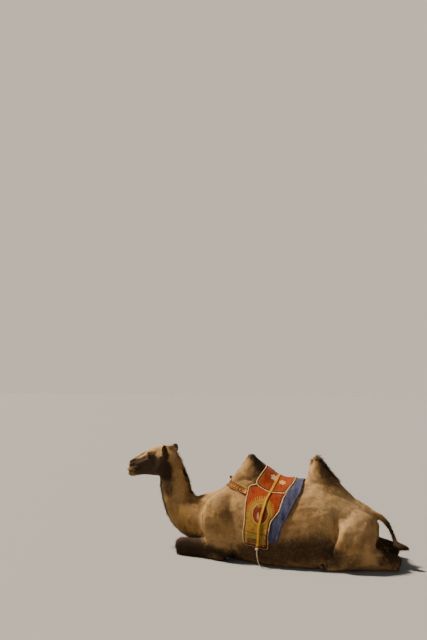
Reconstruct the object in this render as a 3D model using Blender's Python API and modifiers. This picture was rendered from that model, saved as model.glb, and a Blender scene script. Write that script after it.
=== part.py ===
"""A Bactrian camel at rest on its folded legs, life size, wearing its saddle cloths.

Metres, +Z up. The head points to -Y, the camel's left side is +X and the floor is z = 0.
The body is modelled whole, as smooth volumes that a voxel remesh joins, and is then parted
into named pieces with thin cuts. The cloths are shells that lie on the finished body.
"""

import math

import bmesh
import bpy
import numpy as np
from mathutils import Matrix, Vector
from mathutils.bvhtree import BVHTree

# ---------------------------------------------------------------- driving dimensions
GAP = 0.0003  # between pieces that touch
VOXEL = 0.011  # the remesh that runs the body's volumes together
SMOOTHING = 12  # rounds of smoothing over its joins
SORTING_LINE = Vector((0.6137, 1.0, 0.3419))  # slanted, so that no two corners are level on it
BODY_FACES = 2800  # the undivided body's, once thinned out
RING_SIDES = 28
HEAD_TURN = math.radians(-12.0)  # the head looks a little to the camel's right
POLL = Vector((0.0, -0.967, 0.0))  # the head turns about this upright line

EYE_RADIUS = 0.021
EYE_SIDE, EYE_FORWARD, EYE_HEIGHT = 0.087, 0.205, 0.962  # from the middle, the poll, the floor

# Rows of the trunk: y, half width, top, bottom, height of the widest place,
# squareness of the upper and of the lower half.
TRUNK = (
    (-0.66, 0.130, 0.500, 0.160, 0.33, 2.0, 2.0),
    (-0.58, 0.205, 0.575, 0.090, 0.32, 2.0, 2.1),
    (-0.44, 0.268, 0.628, 0.030, 0.31, 1.95, 2.3),
    (-0.27, 0.325, 0.712, -0.006, 0.30, 1.9, 2.6),
    (-0.08, 0.380, 0.765, -0.030, 0.27, 1.85, 3.2),
    (0.12, 0.415, 0.785, -0.040, 0.25, 1.85, 3.8),
    (0.37, 0.430, 0.775, -0.042, 0.24, 1.9, 4.0),
    (0.60, 0.420, 0.762, -0.036, 0.25, 1.95, 3.8),
    (0.78, 0.380, 0.715, -0.018, 0.28, 2.0, 3.0),
    (0.95, 0.310, 0.622, 0.040, 0.33, 2.0, 2.3),
    (1.08, 0.245, 0.545, 0.110, 0.35, 2.0, 2.0),
    (1.175, 0.160, 0.475, 0.200, 0.35, 2.0, 2.0),
)

# Rows of the neck, from inside the chest to the poll: x, y, z, half width, half thickness.
NECK = (
    (0.0, -0.36, 0.36, 0.22, 0.23),
    (0.0, -0.56, 0.335, 0.205, 0.245),
    (0.0, -0.72, 0.36, 0.165, 0.215),
    (0.0, -0.825, 0.435, 0.135, 0.185),
    (0.0, -0.885, 0.545, 0.118, 0.163),
    (0.0, -0.914, 0.665, 0.108, 0.160),
    (0.0, -0.942, 0.785, 0.104, 0.143),
    (0.0, -0.975, 0.905, 0.096, 0.125),
    (0.0, -1.02, 0.965, 0.08, 0.095),
)

# Rows of the head: the same, by distance forward of the poll.
HEAD = (
    (-0.070, 0.066, 1.025, 0.850, 0.94, 2.0, 2.0),
    (0.000, 0.094, 1.066, 0.790, 0.93, 2.0, 2.0),
    (0.095, 0.104, 1.076, 0.745, 0.92, 2.1, 1.9),
    (0.185, 0.100, 1.060, 0.737, 0.92, 2.2, 1.9),
    (0.262, 0.086, 1.022, 0.740, 0.89, 2.2, 2.0),
    (0.342, 0.068, 0.984, 0.738, 0.85, 2.2, 2.2),
    (0.427, 0.062, 0.941, 0.722, 0.82, 2.2, 2.4),
    (0.490, 0.062, 0.909, 0.706, 0.81, 2.2, 2.4),
    (0.520, 0.050, 0.866, 0.712, 0.80, 2.1, 2.2),
)

# Rows of each hump, upwards: z, front y, rear y, half width, how far it leans to +X.
FRONT_HUMP = (
    (0.64, -0.36, 0.24, 0.200, 0.000),
    (0.76, -0.285, 0.215, 0.170, 0.000),
    (0.84, -0.225, 0.150, 0.135, 0.006),
    (0.91, -0.165, 0.070, 0.098, 0.014),
    (0.97, -0.125, -0.005, 0.064, 0.022),
    (1.015, -0.092, -0.042, 0.028, 0.028),
)
REAR_HUMP = (
    (0.600, 0.500, 0.985, 0.200, 0.000),
    (0.720, 0.492, 0.858, 0.172, 0.000),
    (0.810, 0.502, 0.782, 0.140, 0.006),
    (0.880, 0.520, 0.722, 0.106, 0.014),
    (0.950, 0.552, 0.668, 0.070, 0.024),
    (1.005, 0.592, 0.630, 0.030, 0.032),
)

# Rows of the left limbs: x, y, z, half width across, half depth the other way.
UPPER_ARM = (
    (0.140, -0.270, 0.560, 0.090, 0.120),
    (0.225, -0.345, 0.470, 0.115, 0.175),
    (0.275, -0.345, 0.320, 0.110, 0.195),
    (0.275, -0.270, 0.170, 0.095, 0.150),
)
FOREARM = (
    (0.280, -0.200, 0.150, 0.085, 0.100),
    (0.262, -0.420, 0.125, 0.072, 0.078),
    (0.225, -0.610, 0.112, 0.060, 0.062),
    (0.200, -0.765, 0.102, 0.065, 0.068),
    (0.195, -0.828, 0.088, 0.052, 0.058),
)
FRONT_CANNON = (
    (0.198, -0.815, 0.050, 0.050, 0.056),
    (0.208, -0.680, 0.038, 0.042, 0.044),
    (0.226, -0.560, 0.036, 0.042, 0.042),
    (0.240, -0.470, 0.038, 0.052, 0.046),
)
FRONT_FOOT = (
    (0.240, -0.480, 0.042, 0.052, 0.046),
    (0.262, -0.410, 0.046, 0.074, 0.050),
    (0.288, -0.330, 0.044, 0.080, 0.048),
    (0.302, -0.275, 0.038, 0.066, 0.040),
)
THIGH = (
    (0.125, 0.985, 0.450, 0.110, 0.135),
    (0.205, 0.990, 0.375, 0.135, 0.195),
    (0.285, 0.945, 0.260, 0.135, 0.215),
    (0.320, 0.880, 0.130, 0.110, 0.185),
    (0.320, 0.850, 0.060, 0.080, 0.130),
)
SHANK = (
    (0.315, 0.860, 0.120, 0.095, 0.105),
    (0.290, 1.050, 0.125, 0.085, 0.100),
    (0.250, 1.220, 0.110, 0.064, 0.078),
    (0.225, 1.330, 0.092, 0.054, 0.066),
    (0.215, 1.395, 0.070, 0.044, 0.050),
)
HIND_CANNON = (
    (0.218, 1.375, 0.048, 0.046, 0.050),
    (0.228, 1.240, 0.036, 0.042, 0.040),
    (0.250, 1.080, 0.036, 0.042, 0.040),
    (0.268, 0.980, 0.040, 0.052, 0.044),
)
HIND_FOOT = (
    (0.268, 0.985, 0.042, 0.052, 0.044),
    (0.300, 0.890, 0.046, 0.078, 0.048),
    (0.345, 0.790, 0.044, 0.082, 0.046),
    (0.378, 0.705, 0.038, 0.064, 0.040),
)
TAIL = (
    (0.000, 1.110, 0.470, 0.055, 0.050),
    (0.002, 1.205, 0.445, 0.036, 0.034),
    (0.010, 1.275, 0.385, 0.027, 0.026),
    (0.026, 1.316, 0.315, 0.024, 0.023),
    (0.056, 1.336, 0.252, 0.026, 0.026),
    (0.092, 1.352, 0.212, 0.032, 0.030),
)
TAIL_TUFT = (
    (0.086, 1.348, 0.212, 0.032, 0.030),
    (0.118, 1.362, 0.207, 0.046, 0.036),
    (0.142, 1.396, 0.206, 0.044, 0.034),
    (0.160, 1.466, 0.201, 0.023, 0.020),
)


# ---------------------------------------------------------------- shapes
def flowing(rows, steps=5):
    """The rows with smooth ones between them, on a Catmull-Rom curve."""
    rows = np.array(rows, float)
    rows = np.vstack([2 * rows[0] - rows[1], rows, 2 * rows[-1] - rows[-2]])
    made = []
    for a, b, c, d in zip(rows, rows[1:], rows[2:], rows[3:]):
        for t in np.arange(steps) / steps:
            curve = 2 * b + (c - a) * t + (2 * a - 5 * b + 4 * c - d) * t**2
            made.append((curve + (3 * b - a - 3 * c + d) * t**3) / 2)
    made.append(rows[-2])
    return np.array(made)


def round_section(upper=2.0, lower=2.0, sides=RING_SIDES):
    """Cosine and sine round a ring, each half drawn out towards a square above 2."""
    turn = np.arange(sides) * 2 * math.pi / sides
    flat = np.stack([np.cos(turn), np.sin(turn)])
    squareness = np.where(flat[1] > 0, upper, lower)
    return np.sign(flat) * np.abs(flat) ** (2.0 / squareness)


def lofted(rings):
    """A closed mesh through rings of equal length."""
    made = bmesh.new()
    corners = [[made.verts.new(point) for point in ring] for ring in rings]
    for ring, following in zip(corners, corners[1:]):
        for i in range(len(ring)):
            j = (i + 1) % len(ring)
            made.faces.new((ring[i], ring[j], following[j], following[i]))
    made.faces.new(corners[0][::-1])
    made.faces.new(corners[-1])
    bmesh.ops.recalc_face_normals(made, faces=made.faces)
    return made


def upright_loft(rows):
    """A body along Y, from rows of y, half width, top, bottom, widest height, squareness."""
    rings = []
    for y, width, top, bottom, widest, upper, lower in flowing(rows):
        across, up = round_section(upper, lower)
        height = np.where(up > 0, top - widest, widest - bottom)
        rings.append(np.stack([width * across, np.full(RING_SIDES, y), widest + height * up], 1))
    return lofted(rings)


def limb_loft(rows, inflate=0.0, sides=RING_SIDES, steps=5):
    """A tube along rows of x, y, z, half width, half depth, with rings square to its path."""
    rows = flowing(rows, steps)
    path = rows[:, :3]
    ways = np.gradient(path, axis=0)
    across, up = round_section(sides=sides)
    rings = []
    for place, step, row in zip(path, ways, rows):
        forward = Vector(step).normalized()
        side = (Vector((1, 0, 0)) - forward * forward.x).normalized()
        over = forward.cross(side)
        width, depth = row[3] + inflate, row[4] + inflate
        rings.append(place + np.outer(width * across, side) + np.outer(depth * up, over))
    for end, way in ((0, -1), (-1, 1)):
        rings[end] = rings[end] + way * inflate * np.array(Vector(ways[end]).normalized())
    return lofted(rings)


def hump_loft(rows, inflate=0.0):
    """A hump with level oval sections, from rows of z, front y, rear y, half width, lean."""
    across, along = round_section()
    rings = []
    for z, front, rear, width, lean in flowing(rows):
        middle, half = (front + rear) / 2, (rear - front) / 2 + inflate
        x = lean + (width + inflate) * across
        rings.append(np.stack([x, middle + half * along, np.full(RING_SIDES, z)], 1))
    rings[-1] = rings[-1] + np.array((0.0, 0.0, inflate))
    return lofted(rings)


def ball(centre, radii, tilt=0.0, sides=20):
    """An oval ball, tilted about X."""
    made = bmesh.new()
    bmesh.ops.create_uvsphere(made, u_segments=sides, v_segments=sides // 2, radius=1.0)
    size = Matrix.Diagonal((*radii, 1.0))
    made.transform(Matrix.Translation(centre) @ Matrix.Rotation(tilt, 4, "X") @ size)
    return made


def on_head(x, forward, z):
    """A place on the unturned head, by distance forward of the poll."""
    return Vector((x, POLL.y - forward, z))


def head_turned(made):
    """Turns a bmesh of the head about the upright line through the poll."""
    pivot = Matrix.Translation(POLL)
    made.transform(pivot @ Matrix.Rotation(HEAD_TURN, 4, "Z") @ pivot.inverted())
    return made


def mirrored(made):
    copy = made.copy()
    copy.transform(Matrix.Diagonal((-1.0, 1.0, 1.0, 1.0)))
    bmesh.ops.reverse_faces(copy, faces=copy.faces)
    return copy


def both_sides(made):
    return [made, mirrored(made)]


# ---------------------------------------------------------------- the whole body
def head_shapes():
    """The skull with its brows, cheeks, nostrils, lips and chin."""
    skull = upright_loft([(POLL.y - row[0], *row[1:]) for row in HEAD])
    shapes = [skull, ball(on_head(0, 0.488, 0.868), (0.047, 0.042, 0.036), -0.5)]
    shapes.append(ball(on_head(0, 0.490, 0.732), (0.042, 0.040, 0.026)))
    for side in (-1, 1):
        shapes.append(ball(on_head(side * 0.068, 0.200, 0.985), (0.036, 0.060, 0.038), 0.3))
        shapes.append(ball(on_head(side * 0.062, 0.095, 0.850), (0.046, 0.085, 0.090)))
        shapes.append(ball(on_head(side * 0.032, 0.486, 0.786), (0.034, 0.048, 0.057), -0.3))
    return [head_turned(shape) for shape in shapes]


def body_shapes():
    shapes = [upright_loft(TRUNK), limb_loft(NECK), limb_loft(TAIL), limb_loft(TAIL_TUFT)]
    shapes += [hump_loft(FRONT_HUMP), hump_loft(REAR_HUMP)]
    shapes.append(ball((0.0, -0.29, 0.060), (0.115, 0.150, 0.065)))
    shapes += both_sides(ball((0.150, -0.470, 0.340), (0.120, 0.130, 0.190)))
    shapes += both_sides(ball((0.120, 1.100, 0.315), (0.080, 0.108, 0.125)))
    limbs = (UPPER_ARM, FOREARM, FRONT_CANNON, FRONT_FOOT, THIGH, SHANK, HIND_CANNON, HIND_FOOT)
    for rows in limbs:
        shapes += both_sides(limb_loft(rows))
    return shapes + head_shapes()


def new_object(name, made, collection):
    mesh = bpy.data.meshes.new(name)
    made.to_mesh(mesh)
    made.free()
    item = bpy.data.objects.new(name, mesh)
    collection.objects.link(item)
    return item


def applied(item):
    """The object as a plain mesh, with its modifiers made real."""
    bpy.context.view_layer.update()
    evaluated = item.evaluated_get(bpy.context.evaluated_depsgraph_get())
    item.data = bpy.data.meshes.new_from_object(evaluated)
    item.modifiers.clear()
    return item


def in_fixed_order(mesh):
    """Rounds a remeshed form and sorts it along a slanted line, so that it never varies."""
    made = bmesh.new()
    made.from_mesh(mesh)
    for corner in made.verts:
        corner.co = [round(value, 4) for value in corner.co]
    made.verts.sort(key=lambda corner: corner.co.dot(SORTING_LINE))
    made.edges.sort(key=lambda edge: (edge.verts[0].co + edge.verts[1].co).dot(SORTING_LINE))
    made.faces.sort(key=lambda face: face.calc_center_median().dot(SORTING_LINE))
    made.to_mesh(mesh)
    made.free()


def whole_body(collection):
    """The body in one closed mesh, its volumes run together and smoothed."""
    made = bmesh.new()
    for shape in body_shapes():
        piece = bpy.data.meshes.new("piece")
        shape.to_mesh(piece)
        shape.free()
        made.from_mesh(piece)
        bpy.data.meshes.remove(piece)
    body = new_object("body", made, collection)
    remesh = body.modifiers.new("joined", "REMESH")
    remesh.mode = "VOXEL"
    remesh.voxel_size = VOXEL
    soft = body.modifiers.new("soft", "SMOOTH")
    soft.factor = 0.5
    soft.iterations = SMOOTHING
    applied(body)
    in_fixed_order(body.data)
    lean = body.modifiers.new("lean", "DECIMATE")
    lean.ratio = BODY_FACES / (2 * len(body.data.polygons))
    return applied(body)


# ---------------------------------------------------------------- cutting
def prism(outline, start, end):
    """A block with its outline in y and z, from x = start to x = end."""
    made = bmesh.new()
    face = made.faces.new([made.verts.new((start, y, z)) for y, z in outline])
    pulled = bmesh.ops.extrude_face_region(made, geom=[face])
    corners = [item for item in pulled["geom"] if isinstance(item, bmesh.types.BMVert)]
    bmesh.ops.translate(made, verts=corners, vec=(end - start, 0, 0))
    bmesh.ops.recalc_face_normals(made, faces=made.faces)
    return made


def wider(outline, margin):
    """The outline of y and z pushed outwards all round."""
    points = np.array(outline, float)
    edges = np.roll(points, -1, 0) - points
    area = np.sum(points[:, 0] * np.roll(points[:, 1], -1) - np.roll(points[:, 0], -1) * points[:, 1])
    out = np.stack([edges[:, 1], -edges[:, 0]], 1) * np.sign(area)
    out /= np.linalg.norm(out, axis=1)[:, None]
    before = np.roll(out, 1, 0)
    corner = (out + before) / (1 + np.sum(out * before, 1))[:, None]
    return points + corner * margin


def combined(item, other, operation):
    """Cuts or joins another bmesh with an object, and makes the result real."""
    tool = new_object("tool", other, item.users_collection[0])
    step = item.modifiers.new("cut", "BOOLEAN")
    step.solver = "EXACT"
    step.operation = operation
    step.object = tool
    applied(item)
    bpy.data.objects.remove(tool)
    return item


def copy_of(item, name):
    copy = item.copy()
    copy.data = item.data.copy()
    copy.name = name
    item.users_collection[0].objects.link(copy)
    return copy


def taken_out(whole, name, outline, inner, outer):
    """Parts the whole along the walls of a prism. What lies inside becomes a new object."""
    step = math.copysign(GAP, outer)
    piece = combined(copy_of(whole, name), prism(outline, inner, outer), "INTERSECT")
    combined(whole, prism(wider(outline, GAP), inner - step, outer + step), "DIFFERENCE")
    return piece


# ---------------------------------------------------------------- small body parts
def ear(side, inflate=0.0):
    """An upright leaf, cupped outwards, rooted beside the poll."""
    rows = (
        (0.082, 0.012, 0.955, 0.022, 0.018),
        (0.094, 0.012, 0.990, 0.031, 0.020),
        (0.106, 0.010, 1.030, 0.033, 0.017),
        (0.114, 0.006, 1.064, 0.023, 0.012),
        (0.119, 0.002, 1.084, 0.009, 0.007),
    )
    path = [(side * x, POLL.y - forward, z, depth, width) for x, forward, z, width, depth in rows]
    return head_turned(limb_loft(path, inflate, sides=10, steps=2))


def eye(side, inflate=0.0):
    radius = EYE_RADIUS + inflate
    centre = on_head(side * EYE_SIDE, EYE_FORWARD, EYE_HEIGHT)
    return head_turned(ball(centre, (radius,) * 3, sides=12))


def toenail(place, inflate=0.0):
    """A short horn cap on the tip of one toe."""
    return ball(place, [size + inflate for size in NAIL], sides=8)


def band_knot(inflate=0.0):
    place, radii = BAND_KNOT
    return ball(place, [size + inflate for size in radii], sides=10)


def set_in(flesh, name, shape, cutter):
    """Adds a separate part and leaves its bed in the flesh."""
    piece = new_object(name, shape, flesh.users_collection[0])
    combined(flesh, cutter, "DIFFERENCE")
    return piece


# ---------------------------------------------------------------- lines of division
# Outlines in y and z, seen from the side.
HEAD_AREA = ((-1.65, 0.60), (-1.125, 0.60), (-1.10, 0.72), (-0.868, 1.0), (-0.80, 1.2), (-1.65, 1.2))
NECK_AREA = ((-1.65, -0.05), (-0.66, -0.05), (-0.60, 0.35), (-0.50, 0.80), (-0.60, 1.2), (-1.65, 1.2))
HUMP_AREA = ((0.0, 0.805), (0.70, 0.805), (0.70, 1.2), (0.0, 1.2))
TAIL_AREA = ((1.20, 0.60), (1.225, 0.36), (1.25, 0.166), (1.62, 0.166), (1.62, 0.60))
TUFT_AREA = ((1.25, 0.10), (1.62, 0.10), (1.62, 0.375), (1.42, 0.275), (1.30, 0.215), (1.25, 0.19))
FRONT_FOOT_AREA = ((-0.95, -0.05), (-0.06, -0.05), (-0.06, 0.078), (-0.95, 0.078))
FOREARM_AREA = (
    (-0.95, 0.0783), (-0.12, 0.0783), (-0.14, 0.20), (-0.32, 0.235), (-0.50, 0.20), (-0.62, 0.178),
    (-0.95, 0.178),
)
SHOULDER_AREA = tuple(
    (-0.335 + 0.215 * math.cos(turn), 0.395 + 0.215 * math.sin(turn))
    for turn in np.radians(np.arange(-45, 226, 22.5))
)
HIND_FOOT_AREA = ((0.62, -0.05), (1.50, -0.05), (1.50, 0.078), (0.62, 0.078))
SHANK_AREA = ((1.15, 0.0783), (1.50, 0.0783), (1.50, 0.26), (1.15, 0.26))
THIGH_AREA = (
    (0.69, 0.0783), (1.1497, 0.0783), (1.1497, 0.2603), (1.26, 0.2603), (1.26, 0.45), (1.14, 0.545),
    (1.02, 0.575), (0.91, 0.545), (0.845, 0.45), (0.77, 0.26), (0.705, 0.13),
)
LIMB_ROOT = 0.13  # the limbs are parted from the trunk this far from the middle
SHANK_ROOT = 0.165
FAR = 0.60  # beyond the body's side
TAIL_SIDES = (-0.20, 0.195)
TUFT_SIDES = (-0.30, 0.30)
NAIL = (0.021, 0.026, 0.019)  # half sizes
TOE_SPREAD = 0.032  # each way from the middle of the foot
FRONT_TOES = (0.306, -0.244, 0.036)
HIND_TOES = (0.392, 0.676, 0.036)
FRONT_HUMP_START, REAR_HUMP_START = -0.36, 0.40
EAR_BED = 3 * GAP


def laid_on_floor(body):
    """Cuts the underside level, so that the body rests on flats at z = 0."""
    under = ((-2.0, 0.0), (2.0, 0.0), (2.0, -0.3), (-2.0, -0.3))
    combined(body, prism(under, -1.0, 1.0), "DIFFERENCE")


def limb_pieces(body, side, way):
    limbs = (
        ("front_foot", FRONT_FOOT_AREA, LIMB_ROOT),
        ("forearm", FOREARM_AREA, LIMB_ROOT),
        ("shoulder", SHOULDER_AREA, LIMB_ROOT),
        ("hind_foot", HIND_FOOT_AREA, LIMB_ROOT),
        ("shank", SHANK_AREA, SHANK_ROOT),
        ("thigh", THIGH_AREA, LIMB_ROOT),
    )
    for name, outline, root in limbs:
        piece = taken_out(body, name + "_" + side, outline, way * root, way * FAR)
        if name.endswith("foot"):
            toes = FRONT_TOES if name == "front_foot" else HIND_TOES
            for toe, spread in (("inner", -TOE_SPREAD), ("outer", TOE_SPREAD)):
                place = (way * (toes[0] + spread), toes[1], toes[2])
                label = "_".join(("toenail", name.split("_")[0], side, toe))
                set_in(piece, label, toenail(place), toenail(place, GAP))


def divided(body):
    """Parts the body into its named pieces. What is left is the trunk."""
    tail = taken_out(body, "tail", TAIL_AREA, *TAIL_SIDES)
    taken_out(tail, "tail_tuft", TUFT_AREA, *TUFT_SIDES)
    for side, way in (("left", 1), ("right", -1)):
        limb_pieces(body, side, way)
    head = taken_out(body, "head", HEAD_AREA, -FAR, FAR)
    taken_out(body, "neck", NECK_AREA, -FAR, FAR)
    for name, start in (("hump_front", FRONT_HUMP_START), ("hump_rear", REAR_HUMP_START)):
        outline = [(start + y, z) for y, z in HUMP_AREA]
        taken_out(body, name, outline, -FAR, FAR)
    for side, way in (("left", 1), ("right", -1)):
        set_in(head, "ear_" + side, ear(way), ear(way, EAR_BED))
        set_in(head, "eye_" + side, eye(way), eye(way, GAP))
    set_in(body, "hump_band_knot", band_knot(), band_knot(GAP))
    body.name = "trunk"


# ---------------------------------------------------------------- saddle cloths
DRAPE_AXIS = 0.30  # the cloths are laid by rays from this height, on the middle line
DRAPE_TURNS = (0, 9, 18, 28, 41, 56, 73, 89, 106)  # degrees
DRAPE_START, DRAPE_END, DRAPE_PITCH = -0.43, 0.54, 0.08
DRAPE_SPAN = (0.3, 0.15)  # a cloth bridges the hollows this near, in turns and in pitches
CLEARANCE = 0.005  # from the flesh to the lowest cloth
CLOTH = 0.004
HUMP_SLOPE = (0.0, 0.33)  # between these y the cloths lie on the front hump's rear slope
HUMP_FOOT = (0.055, 0.012)  # ahead and behind, they rise this far above the trunk's own curve

BLANKET_AREA = (
    (0.466, 1.0), (0.477, 0.734), (0.455, 0.663), (0.419, 0.606), (0.382, 0.523), (0.351, 0.460),
    (0.304, 0.391), (0.278, 0.300), (0.262, 0.238), (0.120, 0.232), (-0.030, 0.236),
    (-0.030, 0.690), (0.055, 0.760), (0.140, 0.860), (0.160, 1.0),
)
CARPET_AREA = (
    (0.400, 1.0), (0.390, 0.768), (0.341, 0.702), (0.301, 0.632), (0.269, 0.517), (0.193, 0.423),
    (0.166, 0.300), (0.168, 0.176), (0.130, 0.170), (0.061, 0.188), (-0.050, 0.197),
    (-0.078, 0.206), (-0.083, 0.305), (-0.072, 0.413), (-0.075, 0.583), (-0.062, 0.690),
    (-0.052, 0.724), (0.030, 0.742), (0.125, 0.862), (0.145, 1.0),
)
RUG_AREA = (
    (0.395, 1.0), (0.386, 0.768), (0.311, 0.674), (0.166, 0.676), (0.092, 0.700), (0.031, 0.731),
    (0.013, 0.762), (0.090, 0.885), (0.100, 1.0),
)
BAND_AREA = (
    (-0.345, 0.690), (-0.200, 0.665), (-0.0845, 0.628), (-0.0760, 0.700), (-0.200, 0.728),
    (-0.345, 0.752),
)
GIRTH_LINE = (
    (0.221, 1.0), (0.221, 0.790), (0.174, 0.687), (0.139, 0.626), (0.103, 0.493), (0.080, 0.380),
    (0.074, 0.239), (0.066, 0.185),
)
GIRTH_WIDTH = 0.027
GIRTH_KNOT = ((0.452, 0.064, 0.168), (0.014, 0.018, 0.0145))
GIRTH_END = (
    (0.453, 0.064, 0.1530), (0.4535, 0.066, 0.115), (0.453, 0.072, 0.075), (0.452, 0.083, 0.038),
    (0.455, 0.102, 0.012), (0.463, 0.128, 0.0065), (0.475, 0.150, 0.0065),
)
GIRTH_END_RADIUS = 0.005
BAND_KNOT = ((0.012, -0.292, 0.769), (0.016, 0.014, 0.017))


def drape_grid(body):
    """Distances from the axis to the body, wherever a cloth may lie."""
    trees = [BVHTree.FromBMesh(shape) for shape in (mesh_of(body), upright_loft(TRUNK))]
    turns = np.radians([-turn for turn in DRAPE_TURNS[:0:-1]] + list(DRAPE_TURNS))
    rows = np.arange(DRAPE_START, DRAPE_END + 1e-6, DRAPE_PITCH)
    beside = np.gradient(turns) * DRAPE_SPAN[0]
    reach = [[highest(trees, y, turn, step) for turn, step in zip(turns, beside)] for y in rows]
    return rows, turns, np.array(reach)


def highest(trees, y, turn, beside):
    """The body's greatest distance from the axis, near one place."""
    found = 0.0
    swell = HUMP_FOOT[0] if y < HUMP_SLOPE[0] else HUMP_FOOT[1]
    along = DRAPE_SPAN[1] * DRAPE_PITCH
    for near_y in (y - along, y, y + along):
        for near_turn in (turn - beside, turn, turn + beside):
            way = Vector((math.sin(near_turn), 0, math.cos(near_turn)))
            middle = Vector((0, near_y, DRAPE_AXIS))
            hits = [tree.ray_cast(middle + way, -way)[0] for tree in trees]
            on_body, on_trunk = [(hit - middle).length for hit in hits]
            on_slope = HUMP_SLOPE[0] <= y <= HUMP_SLOPE[1]
            found = max(found, on_body if on_slope else min(on_body, on_trunk + swell))
    return found


def mesh_of(item):
    made = bmesh.new()
    made.from_mesh(item.data)
    return made


def cloth_shell(grid, layer):
    """A closed shell of even thickness over the whole drape, one of several that nest."""
    rows, turns, reach = grid
    inner = reach + CLEARANCE + layer * (CLOTH + GAP)
    made = bmesh.new()
    sheets = []
    for radius in (inner, inner + CLOTH):
        x = radius * np.sin(turns)
        z = DRAPE_AXIS + radius * np.cos(turns)
        corners = [
            [made.verts.new((x[i, j], y, z[i, j])) for j in range(len(turns))]
            for i, y in enumerate(rows)
        ]
        sheets.append(corners)
    for corners in sheets:
        for low, high in zip(corners, corners[1:]):
            for j in range(len(turns) - 1):
                made.faces.new((low[j], low[j + 1], high[j]))
                made.faces.new((low[j + 1], high[j + 1], high[j]))
    rims = [rim_of(corners) for corners in sheets]
    for k in range(len(rims[0])):
        after = (k + 1) % len(rims[0])
        made.faces.new((rims[0][k], rims[0][after], rims[1][after], rims[1][k]))
    bmesh.ops.recalc_face_normals(made, faces=made.faces)
    return made


def rim_of(corners):
    """The border of a grid of corners, in order."""
    sides = [row[-1] for row in corners[1:-1]]
    back = [row[0] for row in corners[1:-1]]
    return corners[0] + sides + corners[-1][::-1] + back[::-1]


def cloth(collection, grid, name, layer, outline):
    """A piece of cloth on both flanks, with its outline given from the side."""
    piece = new_object(name, cloth_shell(grid, layer), collection)
    return combined(piece, prism(outline, -1.0, 1.0), "INTERSECT")


def strap_outline(line, width):
    """The outline of a strap of even width along a line of y and z."""
    line = np.array(line)
    way = np.gradient(line, axis=0)
    way /= np.linalg.norm(way, axis=1)[:, None]
    side = np.stack([way[:, 1], -way[:, 0]], 1) * width / 2
    return np.vstack([line + side, (line - side)[::-1]])


def cord(collection, name, line, radius):
    """A round cord along a smooth line through a few points."""
    curve = bpy.data.curves.new(name, "CURVE")
    curve.dimensions = "3D"
    curve.bevel_depth = radius
    curve.bevel_resolution = 2
    curve.use_fill_caps = True
    points = flowing(line, 2)
    spline = curve.splines.new("POLY")
    spline.points.add(len(points) - 1)
    for point, place in zip(spline.points, points):
        point.co = (*place, 1.0)
    item = bpy.data.objects.new(name, curve)
    collection.objects.link(item)
    return item


def saddlery(body, collection):
    grid = drape_grid(body)
    cloth(collection, grid, "under_blanket", 0, BLANKET_AREA)
    cloth(collection, grid, "carpet", 1, CARPET_AREA)
    cloth(collection, grid, "seat_rug", 2, RUG_AREA)
    cloth(collection, grid, "girth_strap", 3, strap_outline(GIRTH_LINE, GIRTH_WIDTH))
    cloth(collection, grid, "hump_band", 0, BAND_AREA)
    for side, knot in zip(("left", "right"), both_sides(ball(*GIRTH_KNOT, sides=10))):
        new_object("girth_knot_" + side, knot, collection)
    cord(collection, "girth_end", GIRTH_END, GIRTH_END_RADIUS)


# ---------------------------------------------------------------- colours
# First words of a name, then the colour and the roughness of its material.
FINISHES = (
    (("eye",), (0.012, 0.008, 0.006), 0.08),
    (("toenail",), (0.045, 0.032, 0.024), 0.45),
    (("ear", "tail_tuft", "forearm", "front_foot"), (0.105, 0.062, 0.038), 0.9),
    (("tail", "hind_foot", "shank"), (0.200, 0.130, 0.080), 0.9),
    (("carpet", "seat_rug"), (0.420, 0.070, 0.022), 0.9),
    (("under_blanket",), (0.040, 0.062, 0.160), 0.9),
    (("girth_strap",), (0.520, 0.300, 0.040), 0.8),
    (("girth_knot", "girth_end"), (0.420, 0.340, 0.230), 0.9),
    (("hump_band_knot",), (0.140, 0.015, 0.015), 0.85),
    (("hump_band",), (0.400, 0.210, 0.100), 0.85),
    (("",), (0.400, 0.270, 0.165), 0.9),
)


def finish(item):
    """Gives an object the first finish that fits its name."""
    colour, roughness = next(
        (colour, roughness) for words, colour, roughness in FINISHES if item.name.startswith(words)
    )
    material = bpy.data.materials.new(item.name)
    material.use_nodes = True
    shader = material.node_tree.nodes["Principled BSDF"]
    shader.inputs["Base Color"].default_value = (*colour, 1.0)
    shader.inputs["Roughness"].default_value = roughness
    item.data.materials.clear()
    item.data.materials.append(material)
    if item.type == "MESH":
        item.data.shade_smooth()
        item.data.set_sharp_from_angle(angle=math.radians(50))


def main():
    for item in list(bpy.data.objects):
        bpy.data.objects.remove(item)
    parts = bpy.data.collections.new("bactrian_camel")
    bpy.context.scene.collection.children.link(parts)
    body = whole_body(parts)
    laid_on_floor(body)
    saddlery(body, parts)
    divided(body)
    for item in parts.objects:
        finish(item)


main()
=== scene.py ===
# Looks of a lying Bactrian camel: skin, coat, eyes, nails and saddle cloths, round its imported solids.
import math

import bmesh
import bpy
import numpy as np
from mathutils import Matrix, Vector
from mathutils.bvhtree import BVHTree
from mathutils.geometry import delaunay_2d_cdt


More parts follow.
